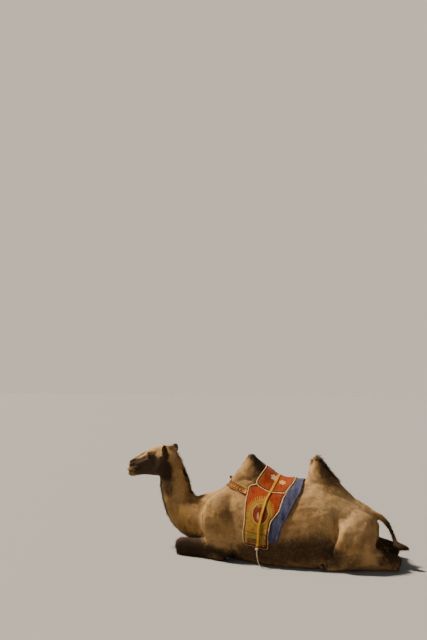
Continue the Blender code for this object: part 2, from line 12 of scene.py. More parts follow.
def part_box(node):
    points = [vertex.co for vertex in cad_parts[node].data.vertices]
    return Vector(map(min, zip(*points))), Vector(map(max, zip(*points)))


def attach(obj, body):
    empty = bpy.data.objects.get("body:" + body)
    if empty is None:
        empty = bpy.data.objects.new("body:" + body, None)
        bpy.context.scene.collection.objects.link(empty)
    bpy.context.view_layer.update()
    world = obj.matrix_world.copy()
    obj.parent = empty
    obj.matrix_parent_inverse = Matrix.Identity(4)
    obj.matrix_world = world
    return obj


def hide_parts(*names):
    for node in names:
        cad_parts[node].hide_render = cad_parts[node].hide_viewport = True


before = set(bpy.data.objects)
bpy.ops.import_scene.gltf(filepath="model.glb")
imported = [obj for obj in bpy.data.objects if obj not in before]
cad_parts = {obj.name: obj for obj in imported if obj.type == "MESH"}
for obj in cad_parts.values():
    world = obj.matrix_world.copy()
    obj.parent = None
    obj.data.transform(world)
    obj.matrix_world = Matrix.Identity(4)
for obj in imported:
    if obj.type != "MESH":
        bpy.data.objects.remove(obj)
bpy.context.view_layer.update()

# ---------------------------------------------------------------- places, in metres
CAMERA_PLACE = (6.48, 1.252, 1.8)
CAMERA_YAW, CAMERA_PITCH = math.radians(15.0), math.radians(5.33)
LENS = 35.0

KEY_FROM = (-0.06, -0.60, 0.80)  # towards the key light
KEY_POWER, KEY_SOFTNESS, KEY_COLOUR = 8.2, math.radians(7), (1.0, 0.86, 0.66)

FILL_PLACE, FILL_TARGET, FILL_SIZE = (5.5, 1.5, 3.2), (0.0, 0.0, 0.4), 4.0
FILL_POWER, FILL_COLOUR = 6, (1.0, 0.95, 0.88)

SKY_POWER = 0.15
SKY_MATCH = 1.03  # the backdrop's brightness, as a share of the floor's under the key
FLOOR_COLOUR = (0.315, 0.317, 0.322)
FLOOR_HALF = 60.0

HEAD_TURN = math.radians(-12.0)
POLL_Y = -0.967
DRAPE_AXIS = 0.30  # the cloths lie round this height, on the middle line

GIRTH_END = (
    (0.453, 0.064, 0.1530), (0.4535, 0.066, 0.115), (0.453, 0.072, 0.075), (0.452, 0.083, 0.038),
    (0.455, 0.102, 0.012), (0.463, 0.128, 0.0065), (0.475, 0.150, 0.0065),
)
GIRTH_END_RADIUS, STRAND_RADIUS = 0.005, 0.0013

FLESH = (
    "trunk", "neck", "head", "hump_front", "hump_rear", "tail", "tail_tuft",
    "shoulder_left", "shoulder_right", "forearm_left", "forearm_right",
    "front_foot_left", "front_foot_right", "thigh_left", "thigh_right",
    "shank_left", "shank_right", "hind_foot_left", "hind_foot_right",
)
NAILS = tuple(
    "_".join(("toenail", end, side, toe))
    for end in ("front", "hind") for side in ("left", "right") for toe in ("inner", "outer")
)
SIDES = (("left", 1), ("right", -1))


# ---------------------------------------------------------------- small helpers
def smooth_step(low, high, value):
    """0 at low and 1 at high, with an eased way between. low may be the greater."""
    t = np.clip((np.asarray(value, float) - low) / (high - low), 0.0, 1.0)
    return t * t * (3 - 2 * t)


def unit(vectors):
    return vectors / np.maximum(np.linalg.norm(vectors, axis=-1, keepdims=True), 1e-12)


def flowing(rows, steps):
    """The rows with smooth ones between them, on a Catmull-Rom curve."""
    rows = np.array(rows, float)
    rows = np.vstack([2 * rows[0] - rows[1], rows, 2 * rows[-1] - rows[-2]])
    made = []
    for a, b, c, d in zip(rows, rows[1:], rows[2:], rows[3:]):
        for t in np.arange(steps) / steps:
            curve = 2 * b + (c - a) * t + (2 * a - 5 * b + 4 * c - d) * t**2
            made.append((curve + (3 * b - a - 3 * c + d) * t**3) / 2)
    made.append(rows[-2])
    return np.array(made)


def head_to_world(places):
    """From across, forward of the poll and up, on the unturned head, to the frame."""
    places = np.asarray(places, float)
    x, forward, z = places[..., 0], places[..., 1], places[..., 2]
    c, s = math.cos(HEAD_TURN), math.sin(HEAD_TURN)
    return np.stack([x * c + forward * s, POLL_Y + x * s - forward * c, z], -1)


def world_to_head(points):
    """From the frame back to across, forward of the poll and up, on the unturned head."""
    x, y = points[..., 0], points[..., 1] - POLL_Y
    c, s = math.cos(HEAD_TURN), math.sin(HEAD_TURN)
    return np.stack([x * c + y * s, x * s - y * c, points[..., 2]], -1)


def from_path(points, path):
    """Distance from each point to a line of straight pieces, and how far along it, 0 to 1."""
    path = np.asarray(path, float)
    best = np.full(len(points), np.inf)
    along = np.zeros(len(points))
    for i, (a, b) in enumerate(zip(path, path[1:])):
        way = b - a
        t = np.clip(((points - a) @ way) / (way @ way), 0, 1)
        far = np.linalg.norm(points - a - t[:, None] * way, axis=1)
        nearer = far < best
        best[nearer] = far[nearer]
        along[nearer] = (i + t[nearer]) / (len(path) - 1)
    return best, along


def run_along(line):
    """How far along a line each of its points lies."""
    return np.concatenate([[0], np.cumsum(np.linalg.norm(np.diff(line, axis=0), axis=1))])


def read_at(at, far, line):
    """The places at some distances along a line, where far holds the distance of each of its points."""
    return np.stack([np.interp(at, far, line[:, k]) for k in range(line.shape[1])], 1)


def places_of(mesh):
    found = np.empty(len(mesh.vertices) * 3)
    mesh.vertices.foreach_get("co", found)
    return found.reshape(-1, 3)


def normals_of(mesh):
    found = np.empty(len(mesh.vertices) * 3)
    mesh.vertex_normals.foreach_get("vector", found)
    return found.reshape(-1, 3)


def move_to(mesh, places):
    mesh.vertices.foreach_set("co", np.asarray(places, np.float32).ravel())
    mesh.update()


def new_object(name, data):
    """An object in the scene for a mesh, curve, light or camera."""
    item = bpy.data.objects.new(name, data)
    bpy.context.scene.collection.objects.link(item)
    return item


def smooth_object(mesh, material):
    """A smoothly shaded object of the mesh's own name."""
    mesh.shade_smooth()
    mesh.materials.append(material)
    return new_object(mesh.name, mesh)


def show(item, slot, *replaced):
    """Fixes a piece to the body, and hides the CAD nodes that it stands for. slot is not used."""
    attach(item, "root")
    if replaced:
        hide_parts(*replaced)
    return item


def mesh_from(name, vertices, faces):
    """A mesh from arrays, where every face has the same number of corners."""
    mesh = bpy.data.meshes.new(name)
    faces = np.asarray(faces, np.int32)
    corners = faces.shape[1]
    mesh.vertices.add(len(vertices))
    mesh.vertices.foreach_set("co", np.asarray(vertices, np.float32).ravel())
    mesh.loops.add(faces.size)
    mesh.loops.foreach_set("vertex_index", faces.ravel())
    mesh.polygons.add(len(faces))
    mesh.polygons.foreach_set("loop_start", np.arange(0, faces.size, corners, dtype=np.int32))
    mesh.update(calc_edges=True)
    return mesh


def mesh_of(made, name):
    """The mesh of a bmesh, which is freed."""
    mesh = bpy.data.meshes.new(name)
    made.to_mesh(mesh)
    made.free()
    return mesh


def quads(rows, columns, closed_rows=False, closed_columns=False):
    """The faces of a grid of points, row by row. Either way may close on itself."""
    down = [(r, (r + 1) % rows) for r in range(rows if closed_rows else rows - 1)]
    along = [(i, (i + 1) % columns) for i in range(columns if closed_columns else columns - 1)]
    return [
        (r * columns + i, r * columns + j, s * columns + j, s * columns + i)
        for r, s in down for i, j in along
    ]


def give(mesh, name, values):
    """Writes one number, or three, for each point of a mesh."""
    kind, field = ("FLOAT", "value") if values.ndim == 1 else ("FLOAT_VECTOR", "vector")
    data = mesh.attributes.new(name, kind, "POINT").data
    data.foreach_set(field, values.astype(np.float32).ravel())


def applied(item):
    """The object with its modifiers made real."""
    bpy.context.view_layer.update()
    evaluated = item.evaluated_get(bpy.context.evaluated_depsgraph_get())
    item.data = bpy.data.meshes.new_from_object(evaluated)
    item.modifiers.clear()
    return item


def thickened(item, thickness):
    """The piece as a solid sheet, whose outer side stays where it is."""
    solid = item.modifiers.new("thick", "SOLIDIFY")
    solid.thickness, solid.offset = thickness, -1.0
    return applied(item)


def subdivided(item):
    """The piece with each face cut into four and rounded."""
    smooth = item.modifiers.new("round", "SUBSURF")
    smooth.levels = smooth.render_levels = 1
    return applied(item)


def tree_of(mesh):
    faces = [tuple(face.vertices) for face in mesh.polygons]
    return BVHTree.FromPolygons(places_of(mesh).tolist(), faces)


def middle_and_half(node_name):
    """The middle of a CAD node's box and half its size, each across, along and up."""
    low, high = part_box(node_name)
    return (np.array(low) + np.array(high)) / 2, (np.array(high) - np.array(low)) / 2


# ---------------------------------------------------------------- camera, floor and light
def camera():
    """The photograph's view: from standing height at the animal's left, a little towards its tail."""
    data = bpy.data.cameras.new("camera")
    data.lens, data.sensor_width = LENS, 36.0
    item = new_object("camera", data)
    item.location = CAMERA_PLACE
    forward = Vector((
        -math.cos(CAMERA_YAW) * math.cos(CAMERA_PITCH),
        -math.sin(CAMERA_YAW) * math.cos(CAMERA_PITCH),
        math.sin(CAMERA_PITCH),
    ))
    item.rotation_euler = forward.to_track_quat("-Z", "Y").to_euler()
    bpy.context.scene.camera = item


def key_light():
    """A warm soft sun from high ahead of the animal."""
    data = bpy.data.lights.new("key", "SUN")
    data.energy, data.angle, data.color = KEY_POWER, KEY_SOFTNESS, KEY_COLOUR
    item = new_object("key", data)
    item.rotation_euler = Vector(KEY_FROM).to_track_quat("Z", "Y").to_euler()


def fill_light():
    """A wide weak lamp on the camera's side."""
    data = bpy.data.lights.new("fill", "AREA")
    data.size, data.energy, data.color = FILL_SIZE, FILL_POWER, FILL_COLOUR
    item = new_object("fill", data)
    item.location = FILL_PLACE
    towards = Vector(FILL_TARGET) - Vector(FILL_PLACE)
    item.rotation_euler = towards.to_track_quat("-Z", "Y").to_euler()


def sky():
    """Soft light from above, and the floor's own glow near the horizon. The camera sees only the glow."""
    world = bpy.data.worlds.new("world")
    world.use_nodes = True
    tree = world.node_tree
    height = Vector(KEY_FROM).normalized().z
    lit = [KEY_POWER * height / math.pi * colour + SKY_POWER for colour in KEY_COLOUR]
    level = tuple(float(SKY_MATCH * albedo * light) for albedo, light in zip(FLOOR_COLOUR, lit))
    up = split(tree, node(tree, "ShaderNodeTexCoord").outputs["Generated"])[2]
    lighting = calculated(tree, "SUBTRACT", 1.0, node(tree, "ShaderNodeLightPath").outputs["Is Camera Ray"])
    raised = calculated(tree, "MULTIPLY", ranged(tree, up, 0.01, 0.26), lighting)
    colour = mixed(tree, raised, level, (SKY_POWER, SKY_POWER, SKY_POWER))
    tree.links.new(colour, tree.nodes["Background"].inputs["Color"])
    return world


def studio():
    """A pale floor under a pale sky, with both lights."""
    made = bmesh.new()
    bmesh.ops.create_grid(made, x_segments=1, y_segments=1, size=FLOOR_HALF)
    floor = new_object("floor", mesh_of(made, "floor"))
    material, _, shader = new_material("floor", 0.9)
    shader.inputs["Base Color"].default_value = (*FLOOR_COLOUR, 1)
    floor.data.materials.append(material)
    bpy.context.scene.world = sky()
    key_light()
    fill_light()


# ---------------------------------------------------------------- skin
VOXEL = 0.0125
SWELL = 0.0012  # closes the thin cuts between the solids before they are run together
FILLER_SWELL = 0.0005
EAR_ROOT, EAR_ROOT_RADIUS = (0.070, -0.012, 0.965), 0.024  # across, forward of the poll and up, on the left


def run_together():
    """One mesh round all the flesh solids, with the beds of the small parts filled."""
    made = bmesh.new()
    for name in (*FLESH, "eye_left", "eye_right", *NAILS, "hump_band_knot"):
        piece = bmesh.new()
        piece.from_mesh(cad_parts[name].data)
        bmesh.ops.remove_doubles(piece, verts=piece.verts, dist=1e-5)
        piece.normal_update()
        swell = SWELL if name in FLESH else FILLER_SWELL
        for corner in piece.verts:
            corner.co += corner.normal * swell
        mesh = mesh_of(piece, "piece")
        made.from_mesh(mesh)
        bpy.data.meshes.remove(mesh)
    for _, way in SIDES:
        place = Matrix.Translation(head_to_world((way * EAR_ROOT[0], *EAR_ROOT[1:])))
        bmesh.ops.create_icosphere(made, subdivisions=2, radius=EAR_ROOT_RADIUS, matrix=place)
    skin = new_object("skin", mesh_of(made, "skin"))
    remesh = skin.modifiers.new("joined", "REMESH")
    remesh.mode = "VOXEL"
    remesh.voxel_size = VOXEL
    soft = skin.modifiers.new("soft", "SMOOTH")
    soft.factor, soft.iterations = 0.5, 8
    return applied(skin)


def refined(skin, region):
    """Subdivides the faces whose middles lie in a region, then evens out the facets there."""
    made = bmesh.new()
    made.from_mesh(skin.data)
    edges = {edge for face in made.faces if region(face.calc_center_median()) for edge in face.edges}
    edges = sorted(edges, key=lambda edge: edge.index)
    bmesh.ops.subdivide_edges(made, edges=edges, cuts=1, use_grid_fill=True)
    inner = [corner for corner in made.verts if region(corner.co)]
    every_way = {"use_axis_x": True, "use_axis_y": True, "use_axis_z": True}
    for _ in range(4):
        bmesh.ops.smooth_vert(made, verts=inner, factor=0.5, **every_way)
    made.to_mesh(skin.data)
    made.free()


def on_head(place):
    """On the head, or on the neck close under it."""
    return place.y < -0.95 and place.z > 0.66 + 0.3 * (-0.95 - place.y) * (place.y > -1.1)


def on_face(place):
    """Round the eyes, and the muzzle, whose folds are the finest."""
    side, forward, up = world_to_head(np.array(place))
    eye = math.hypot(forward - 0.205, up - 0.962) < 0.06 and abs(side) > 0.04
    return eye or (forward > 0.335 and up > 0.70)


# ---------------------------------------------------------------- shaping of the skin
COAT_DEPTH = 0.006
FACE_DEPTH = 0.0015
SKIN_FLOOR, HAIR_FLOOR = 0.0008, 0.0012  # the least height over the floor

# Furrows and swellings: a line of places, how wide, and how far in (-) or out (+).
# Those of the body are across, along and up; both flanks have them.
BODY_FOLDS = (
    (((0.40, 0.845, 0.48), (0.43, 0.80, 0.36), (0.44, 0.755, 0.245), (0.43, 0.70, 0.12), (0.40, 0.68, 0.03)),
     0.027, -0.034),
    (((0.42, 0.905, 0.440), (0.45, 0.865, 0.340), (0.46, 0.830, 0.240), (0.45, 0.78, 0.13)), 0.042, 0.019),
    (((0.34, 0.80, 0.56), (0.40, 0.845, 0.48)), 0.045, -0.012),
    (((0.22, -0.50, 0.56), (0.30, -0.530, 0.440), (0.33, -0.548, 0.320), (0.30, -0.53, 0.22)), 0.022, -0.018),
    (((0.26, -0.44, 0.55), (0.34, -0.470, 0.440), (0.36, -0.490, 0.320)), 0.035, 0.008),
    (((0.40, -0.10, 0.16), (0.36, -0.22, 0.195), (0.35, -0.36, 0.205), (0.30, -0.50, 0.19)), 0.018, -0.012),
    (((0.40, -0.06, 0.30), (0.40, -0.10, 0.44), (0.36, -0.16, 0.56)), 0.040, -0.010),
    (((0.45, 0.905, 0.110), (0.46, 0.925, 0.230), (0.44, 0.968, 0.350)), 0.020, -0.016),
    (((0.46, 0.935, 0.110), (0.46, 0.962, 0.200)), 0.016, -0.009),
    (((0.46, 0.850, 0.12), (0.46, 0.860, 0.24)), 0.035, 0.008),
    (((0.44, 1.03, 0.22), (0.42, 1.05, 0.32)), 0.045, 0.006),
    (((0.34, 1.16, 0.10), (0.36, 1.08, 0.16), (0.36, 1.10, 0.26)), 0.020, -0.010),
    (((0.30, 0.93, 0.58), (0.26, 1.00, 0.56)), 0.050, 0.007),
    (((0.13, 0.52, 0.765), (0.15, 0.62, 0.760), (0.12, 0.76, 0.740)), 0.030, -0.009),
    (((0.14, -0.30, 0.745), (0.17, -0.16, 0.765), (0.16, 0.0, 0.780)), 0.030, -0.007),
    (((0.08, -0.770, 0.50), (0.125, -0.735, 0.520), (0.15, -0.69, 0.50)), 0.010, -0.007),
    (((0.09, -0.725, 0.545), (0.13, -0.690, 0.560), (0.16, -0.64, 0.53)), 0.010, -0.007),
    (((0.09, -0.680, 0.585), (0.13, -0.640, 0.590), (0.17, -0.59, 0.56)), 0.010, -0.006),
    (((0.09, -0.92, 0.60), (0.10, -0.88, 0.72), (0.09, -0.90, 0.84)), 0.030, -0.005),
    (((0.20, -0.80, 0.13), (0.20, -0.84, 0.09)), 0.020, 0.005),
    (((0.14, -0.88, 0.16), (0.195, -0.90, 0.165), (0.25, -0.88, 0.16)), 0.035, -0.012),
)
# Those of the head are across, forward of the poll and up, on the unturned head.
HEAD_FOLDS = (
    (((0.080, 0.140, 0.998), (0.084, 0.205, 1.006), (0.078, 0.255, 0.988)), 0.017, 0.011),
    (((0.092, 0.110, 1.000), (0.090, 0.140, 1.015)), 0.028, -0.009),
    (((0.095, 0.085, 0.950), (0.095, 0.120, 0.930)), 0.030, -0.005),
    (((0.088, 0.250, 0.945), (0.078, 0.300, 0.925)), 0.016, -0.005),
    (((0.094, 0.165, 0.920), (0.085, 0.240, 0.918), (0.070, 0.330, 0.882), (0.062, 0.390, 0.860)),
     0.014, 0.0065),
    (((0.085, 0.220, 0.880), (0.070, 0.300, 0.850), (0.062, 0.360, 0.825)), 0.024, -0.009),
    (((0.085, 0.070, 0.870), (0.088, 0.110, 0.825)), 0.040, 0.006),
    (((0.085, 0.010, 0.830), (0.070, 0.000, 0.780), (0.040, 0.010, 0.750)), 0.018, -0.008),
    (((0.042, 0.290, 0.990), (0.044, 0.350, 0.960), (0.046, 0.410, 0.930)), 0.016, -0.009),
    (((0.000, 0.300, 0.995), (0.000, 0.400, 0.945)), 0.016, 0.004),
    (((0.085, 0.080, 0.780), (0.078, 0.160, 0.765), (0.066, 0.250, 0.760)), 0.016, 0.005),
    (((0.041, 0.500, 0.860), (0.050, 0.474, 0.878), (0.056, 0.438, 0.896), (0.056, 0.416, 0.903)),
     0.0062, -0.0150),
    (((0.030, 0.515, 0.872), (0.040, 0.486, 0.902), (0.044, 0.440, 0.922)), 0.009, 0.0060),
    (((0.054, 0.494, 0.846), (0.063, 0.464, 0.862), (0.066, 0.425, 0.880)), 0.010, 0.0065),
    (((0.000, 0.545, 0.770), (0.030, 0.536, 0.771), (0.056, 0.500, 0.776), (0.066, 0.445, 0.786),
      (0.070, 0.375, 0.802)), 0.0060, -0.0120),
    (((0.010, 0.545, 0.796), (0.036, 0.532, 0.797), (0.060, 0.492, 0.802), (0.069, 0.440, 0.811),
      (0.072, 0.385, 0.826)), 0.015, 0.0075),
    (((0.064, 0.465, 0.783), (0.068, 0.415, 0.793), (0.072, 0.355, 0.808)), 0.0055, -0.010),
    (((0.000, 0.530, 0.748), (0.034, 0.518, 0.748), (0.052, 0.470, 0.756)), 0.013, 0.0060),
    (((0.000, 0.555, 0.784), (0.000, 0.553, 0.820), (0.000, 0.540, 0.858)), 0.0050, -0.008),
    (((0.046, 0.520, 0.846), (0.052, 0.524, 0.815)), 0.012, -0.0050),
    (((0.000, 0.520, 0.726), (0.030, 0.500, 0.726)), 0.014, 0.004),
    (((0.068, 0.367, 0.830), (0.072, 0.360, 0.806), (0.068, 0.367, 0.783)), 0.0055, -0.006),
    (((0.072, 0.345, 0.835), (0.075, 0.337, 0.808), (0.070, 0.345, 0.780)), 0.0070, -0.004),
    (((0.066, 0.387, 0.835), (0.068, 0.400, 0.820)), 0.006, 0.003),
    (((0.058, 0.475, 0.842), (0.064, 0.460, 0.823)), 0.005, -0.0035),
    (((0.054, 0.497, 0.838), (0.058, 0.487, 0.820)), 0.005, -0.0035),
    (((0.064, 0.445, 0.856), (0.068, 0.425, 0.836)), 0.005, -0.0035),
)
# Slow waves over the whole skin, so that no stretch of it is a perfect curve.
WAVE_LENGTHS, WAVE_HEIGHT = (0.33, 0.19, 0.11, 0.065), 0.0016


def folds(points, table):
    """How far the folds of a table move each point outwards."""
    moved = np.zeros(len(points))
    for path, width, depth in table:
        far, along = from_path(points, path)
        fade = smooth_step(0.0, 0.18, along) * smooth_step(1.0, 0.82, along)
        moved += depth * (0.35 + 0.65 * fade) * np.exp(-((far / width) ** 2))
    return moved


def waves(points, lengths, seed):
    """A smooth uneven field of about -1 to 1."""
    draw = np.random.default_rng(seed)
    field = np.zeros(len(points))
    for length in lengths:
        for _ in range(4):
            way = unit(draw.normal(size=3))
            bend = unit(draw.normal(size=3))
            turn = 2 * math.pi * (points @ way) / length + draw.uniform(0, 6.28)
            field += np.sin(turn + 1.3 * np.sin(2 * math.pi * (points @ bend) / (1.7 * length)))
    return field / (2.0 * math.sqrt(len(lengths)))


def flipped(points):
    """The points with both sides laid on the left."""
    return np.stack([np.abs(points[:, 0]), points[:, 1], points[:, 2]], 1)


def head_share(points):
    """1 on the head, 0 on the neck."""
    local = world_to_head(points)
    ahead = local[:, 1] + 0.5 * (local[:, 2] - 0.95)
    return smooth_step(-0.06, 0.04, ahead) * smooth_step(0.62, 0.72, points[:, 2])


def laid_on(tree, table, turned_head=False):
    """A table of folds with its lines moved onto the skin."""
    laid = []
    for path, width, depth in table:
        line = flowing(path, 3)
        if turned_head:
            line = head_to_world(line)
        line = np.array([tree.find_nearest(Vector(place))[0][:] for place in line])
        laid.append((world_to_head(line) if turned_head else line, width, depth))
    return laid


def shaped(skin):
    """Draws the skin in by the coat's depth and adds its folds. Gives back those of the head."""
    mesh = skin.data
    tree = tree_of(mesh)
    body_folds, head_folds = laid_on(tree, BODY_FOLDS), laid_on(tree, HEAD_FOLDS, True)
    points, normals = places_of(mesh), normals_of(mesh)
    face = head_share(points)
    depth = COAT_DEPTH + (FACE_DEPTH - COAT_DEPTH) * face
    out = -depth + folds(flipped(points), body_folds) * (1 - face)
    out += folds(flipped(world_to_head(points)), head_folds) * face
    out += WAVE_HEIGHT * waves(points, WAVE_LENGTHS, 3) * (1 - 0.7 * face)
    on_floor = smooth_step(0.03, 0.008, points[:, 2])
    out *= 1 - on_floor
    points = points + normals * out[:, None]
    points[:, 2] = np.maximum(points[:, 2], SKIN_FLOOR)
    move_to(mesh, points)
    return head_folds


# ---------------------------------------------------------------- eyes and lids
LID_RINGS = (
    # out from the opening's edge, height over the eyeball
    (0.0000, 0.0006), (0.0004, 0.0026), (0.0026, 0.0040), (0.0055, 0.0042), (0.0080, 0.0030),
    (0.0110, 0.0034), (0.0160, 0.0026),
)
LID_SKIRT = ((0.023, 0.0008), (0.031, -0.003))  # out from the opening's edge, height over the skin
OPENING = (0.0185, 0.0125)  # half length and half height
LID_STEPS = 40


class Eye:
    """An eyeball's place and size, and its outward, forward and upward ways."""

    def __init__(self, side):
        way = dict(SIDES)[side]
        low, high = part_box("eye_" + side)
        self.centre = np.array((low + high) / 2)
        self.radius = (high.z - low.z) / 2
        self.out = unit(head_to_world((way * 1.0, 0.30, 0.0)) - head_to_world((0, 0, 0)))
        self.up = np.array((0.0, 0.0, 1.0))
        self.forward = unit(np.cross(self.up, self.out)) * -way

    def local(self, points):
        """Each point's distance forward, up and out from the eye's middle."""
        away = points - self.centre
        return away @ self.forward, away @ self.up, away @ self.out

    def places(self, forward, up, out):
        """The points at some distances from the eye's middle."""
        return self.centre + np.outer(forward, self.forward) + np.outer(up, self.up) + np.outer(out, self.out)

    def surface(self, forward, up):
        """How far out the ball's surface lies. Past its edge it goes on nearly flat."""
        return np.sqrt(np.maximum(1 - (forward**2 + up**2) / self.radius**2, 0.03)) * self.radius


def opening_at(turn):
    """The edge of the lids: rounded above, flatter below, drawn out to both corners."""
    across = np.cos(turn)
    lift = np.sin(turn)
    tall = np.where(lift > 0, OPENING[1], 0.82 * OPENING[1])
    return OPENING[0] * across, tall * lift * (1 - 0.18 * across**2) - 0.0025 * across


def lids(side, tree):
    """A ring of skin round the eye, from the eyeball out to the skin."""
    eye = Eye(side)
    a, b = opening_at(np.arange(LID_STEPS) * 2 * math.pi / LID_STEPS)
    reach = np.hypot(a, b)
    rings = []
    for far, height in LID_RINGS:
        k = (reach + far) / reach
        ring = eye.places(a * k, b * k, eye.surface(a * k, b * k))
        rings.append(ring + unit(ring - eye.centre) * height)
    for far, height in LID_SKIRT:
        k = (reach + far) / reach
        spread = eye.places(a * k, b * k, np.full(LID_STEPS, 0.01))
        hits = [tree.find_nearest(Vector(place)) for place in spread]
        rings.append(np.array([hit[0] + hit[1] * height for hit in hits]))
    vertices = np.vstack(rings)
    faces = quads(len(rings), LID_STEPS, closed_columns=True)
    first = vertices[list(faces[2 * LID_STEPS])]
    if np.cross(first[1] - first[0], first[2] - first[0]) @ eye.out < 0:
        faces = [face[::-1] for face in faces]
    return vertices, faces


def eyeball(side):
    """A glossy ball with a cornea that stands out, over a brown iris and a level pupil."""
    eye = Eye(side)
    made = bmesh.new()
    bmesh.ops.create_uvsphere(made, u_segments=48, v_segments=32, radius=1.0)
    for corner in made.verts:
        corner.co *= eye.radius * (1 + 0.05 * smooth_step(0.80, 0.95, corner.co.z))
    turn = Matrix((eye.forward, eye.up, eye.out)).transposed().to_4x4()
    if turn.determinant() < 0:
        turn = Matrix((-eye.forward, eye.up, eye.out)).transposed().to_4x4()
    made.transform(Matrix.Translation(Vector(eye.centre)) @ turn)
    mesh = mesh_of(made, "eyeball_" + side)
    give(mesh, "in_eye", np.stack(eye.local(places_of(mesh)), 1) / eye.radius)
    return show(smooth_object(mesh, eye_material()), "eye", "eye_" + side)


# ---------------------------------------------------------------- ears
EAR_ROWS = (
    # across, forward, up, half width, half depth
    (0.078, 0.012, 0.950, 0.016, 0.013),
    (0.090, 0.012, 0.978, 0.024, 0.018),
    (0.100, 0.011, 1.008, 0.033, 0.020),
    (0.107, 0.009, 1.036, 0.035, 0.018),
    (0.111, 0.007, 1.058, 0.029, 0.014),
    (0.114, 0.005, 1.072, 0.019, 0.009),
    (0.116, 0.004, 1.079, 0.006, 0.004),
)
EAR_OPEN = math.radians(62)  # half the gap of the cup
EAR_TURN = math.radians(18)  # forward, from straight outwards
EAR_THICKNESS = 0.0032
EAR_STEPS = 22  # points across the leaf


def ear(way):
    """A cupped leaf, open outwards and a little forward."""
    rows = flowing(EAR_ROWS, 5)
    rings = []
    for k, (x, forward, up, wide, deep) in enumerate(rows):
        share = k / (len(rows) - 1)
        gap = EAR_OPEN * smooth_step(0.12, 0.5, share)
        # Turn 0 looks outwards and forward.
        turns = np.linspace(gap, 2 * math.pi - gap, EAR_STEPS)
        along, across = np.cos(turns) * deep, np.sin(turns) * wide
        px = x + along * math.cos(EAR_TURN) - across * math.sin(EAR_TURN)
        pf = forward + along * math.sin(EAR_TURN) + across * math.cos(EAR_TURN)
        rings.append(head_to_world(np.stack([way * px, pf, np.full(EAR_STEPS, up)], 1)))
    faces = [quad if way > 0 else quad[::-1] for quad in quads(len(rings), EAR_STEPS)]
    item = new_object("ear_shape", mesh_from("ear", np.vstack(rings), faces))
    return subdivided(thickened(item, EAR_THICKNESS))


def with_small_parts(skin):
    """Joins the lids and ears to the skin's mesh, so that they are one piece."""
    tree = tree_of(skin.data)
    socket(skin)
    made = bmesh.new()
    made.from_mesh(skin.data)
    for side, way in SIDES:
        lid = subdivided(new_object("lids", mesh_from("lids", *lids(side, tree))))
        for item in (lid, ear(way)):
            made.from_mesh(item.data)
            bpy.data.objects.remove(item)
    made.to_mesh(skin.data)
    made.free()
    skin.data.shade_smooth()
    return skin


def socket(skin):
    """Pushes the skin under the lids inwards, behind the eyeball."""
    points = places_of(skin.data)
    for side, _ in SIDES:
        eye = Eye(side)
        a, b, rise = eye.local(points)
        near = smooth_step(0.031, 0.021, np.hypot(a, b)) * (rise > -0.01) * (rise < 0.06)
        points -= np.outer(near * np.maximum(rise + 0.004, 0), eye.out)
    move_to(skin.data, points)


# ---------------------------------------------------------------- materials
def node(tree, kind, **values):
    made = tree.nodes.new(kind)
    for name, value in values.items():
        setattr(made, name, value)
    return made


def fill_in(tree, sockets, values):
    """Gives each socket its value: a number, a colour, or a link from another socket."""
    for socket_in, value in zip(sockets, values):
        if isinstance(value, bpy.types.NodeSocket):
            tree.links.new(value, socket_in)
        elif isinstance(value, tuple):
            socket_in.default_value = (*value, 1.0)
        else:
            socket_in.default_value = value


def mixed(tree, factor, low, high, blend="MIX"):
    """A colour mix. Each of low and high is a colour or a socket, and factor a number or a socket."""
    made = node(tree, "ShaderNodeMix", data_type="RGBA", blend_type=blend)
    fill_in(tree, (made.inputs[0], made.inputs[6], made.inputs[7]), (factor, low, high))
    return made.outputs[2]


def ranged(tree, value, low, high, to_low=0.0, to_high=1.0):
    """A number eased from to_low to to_high, as the value goes from low to high."""
    made = node(tree, "ShaderNodeMapRange", interpolation_type="SMOOTHSTEP")
    names = ("Value", "From Min", "From Max", "To Min", "To Max")
    fill_in(tree, [made.inputs[name] for name in names], (value, low, high, to_low, to_high))
    return made.outputs["Result"]


def calculated(tree, operation, *values):
    made = node(tree, "ShaderNodeMath", operation=operation)
    fill_in(tree, made.inputs, values)
    return made.outputs[0]


def noise(tree, scale, detail=3.0, roughness=0.5, vector=None, stretch=None):
    made = node(tree, "ShaderNodeTexNoise")
    names = ("Scale", "Detail", "Roughness")
    fill_in(tree, [made.inputs[name] for name in names], (scale, detail, roughness))
    if vector is None:
        vector = node(tree, "ShaderNodeTexCoord").outputs["Object"]
    if stretch is not None:
        mapping = node(tree, "ShaderNodeMapping")
        mapping.inputs["Scale"].default_value = stretch
        tree.links.new(vector, mapping.inputs["Vector"])
        vector = mapping.outputs["Vector"]
    tree.links.new(vector, made.inputs["Vector"])
    return made.outputs["Fac"]


def split(tree, vector):
    """The three numbers of a vector."""
    parts = node(tree, "ShaderNodeSeparateXYZ")
    tree.links.new(vector, parts.inputs["Vector"])
    return parts.outputs


def attribute(tree, name):
    return node(tree, "ShaderNodeAttribute", attribute_name=name).outputs


def new_material(name, roughness, specular=0.5, sheen=0.0):
    """A material, its tree and its shader. A sheen is soft and wide."""
    material = bpy.data.materials.new(name)
    material.use_nodes = True
    shader = material.node_tree.nodes["Principled BSDF"]
    shader.inputs["Roughness"].default_value = roughness
    shader.inputs["Specular IOR Level"].default_value = specular
    if sheen:
        shader.inputs["Sheen Weight"].default_value = sheen
        shader.inputs["Sheen Roughness"].default_value = 0.6
    return material, material.node_tree, shader


def bumped(tree, shader, height, strength, distance):
    made = node(tree, "ShaderNodeBump")
    made.inputs["Strength"].default_value = strength
    made.inputs["Distance"].default_value = distance
    tree.links.new(height, made.inputs["Height"])
    tree.links.new(made.outputs["Normal"], shader.inputs["Normal"])


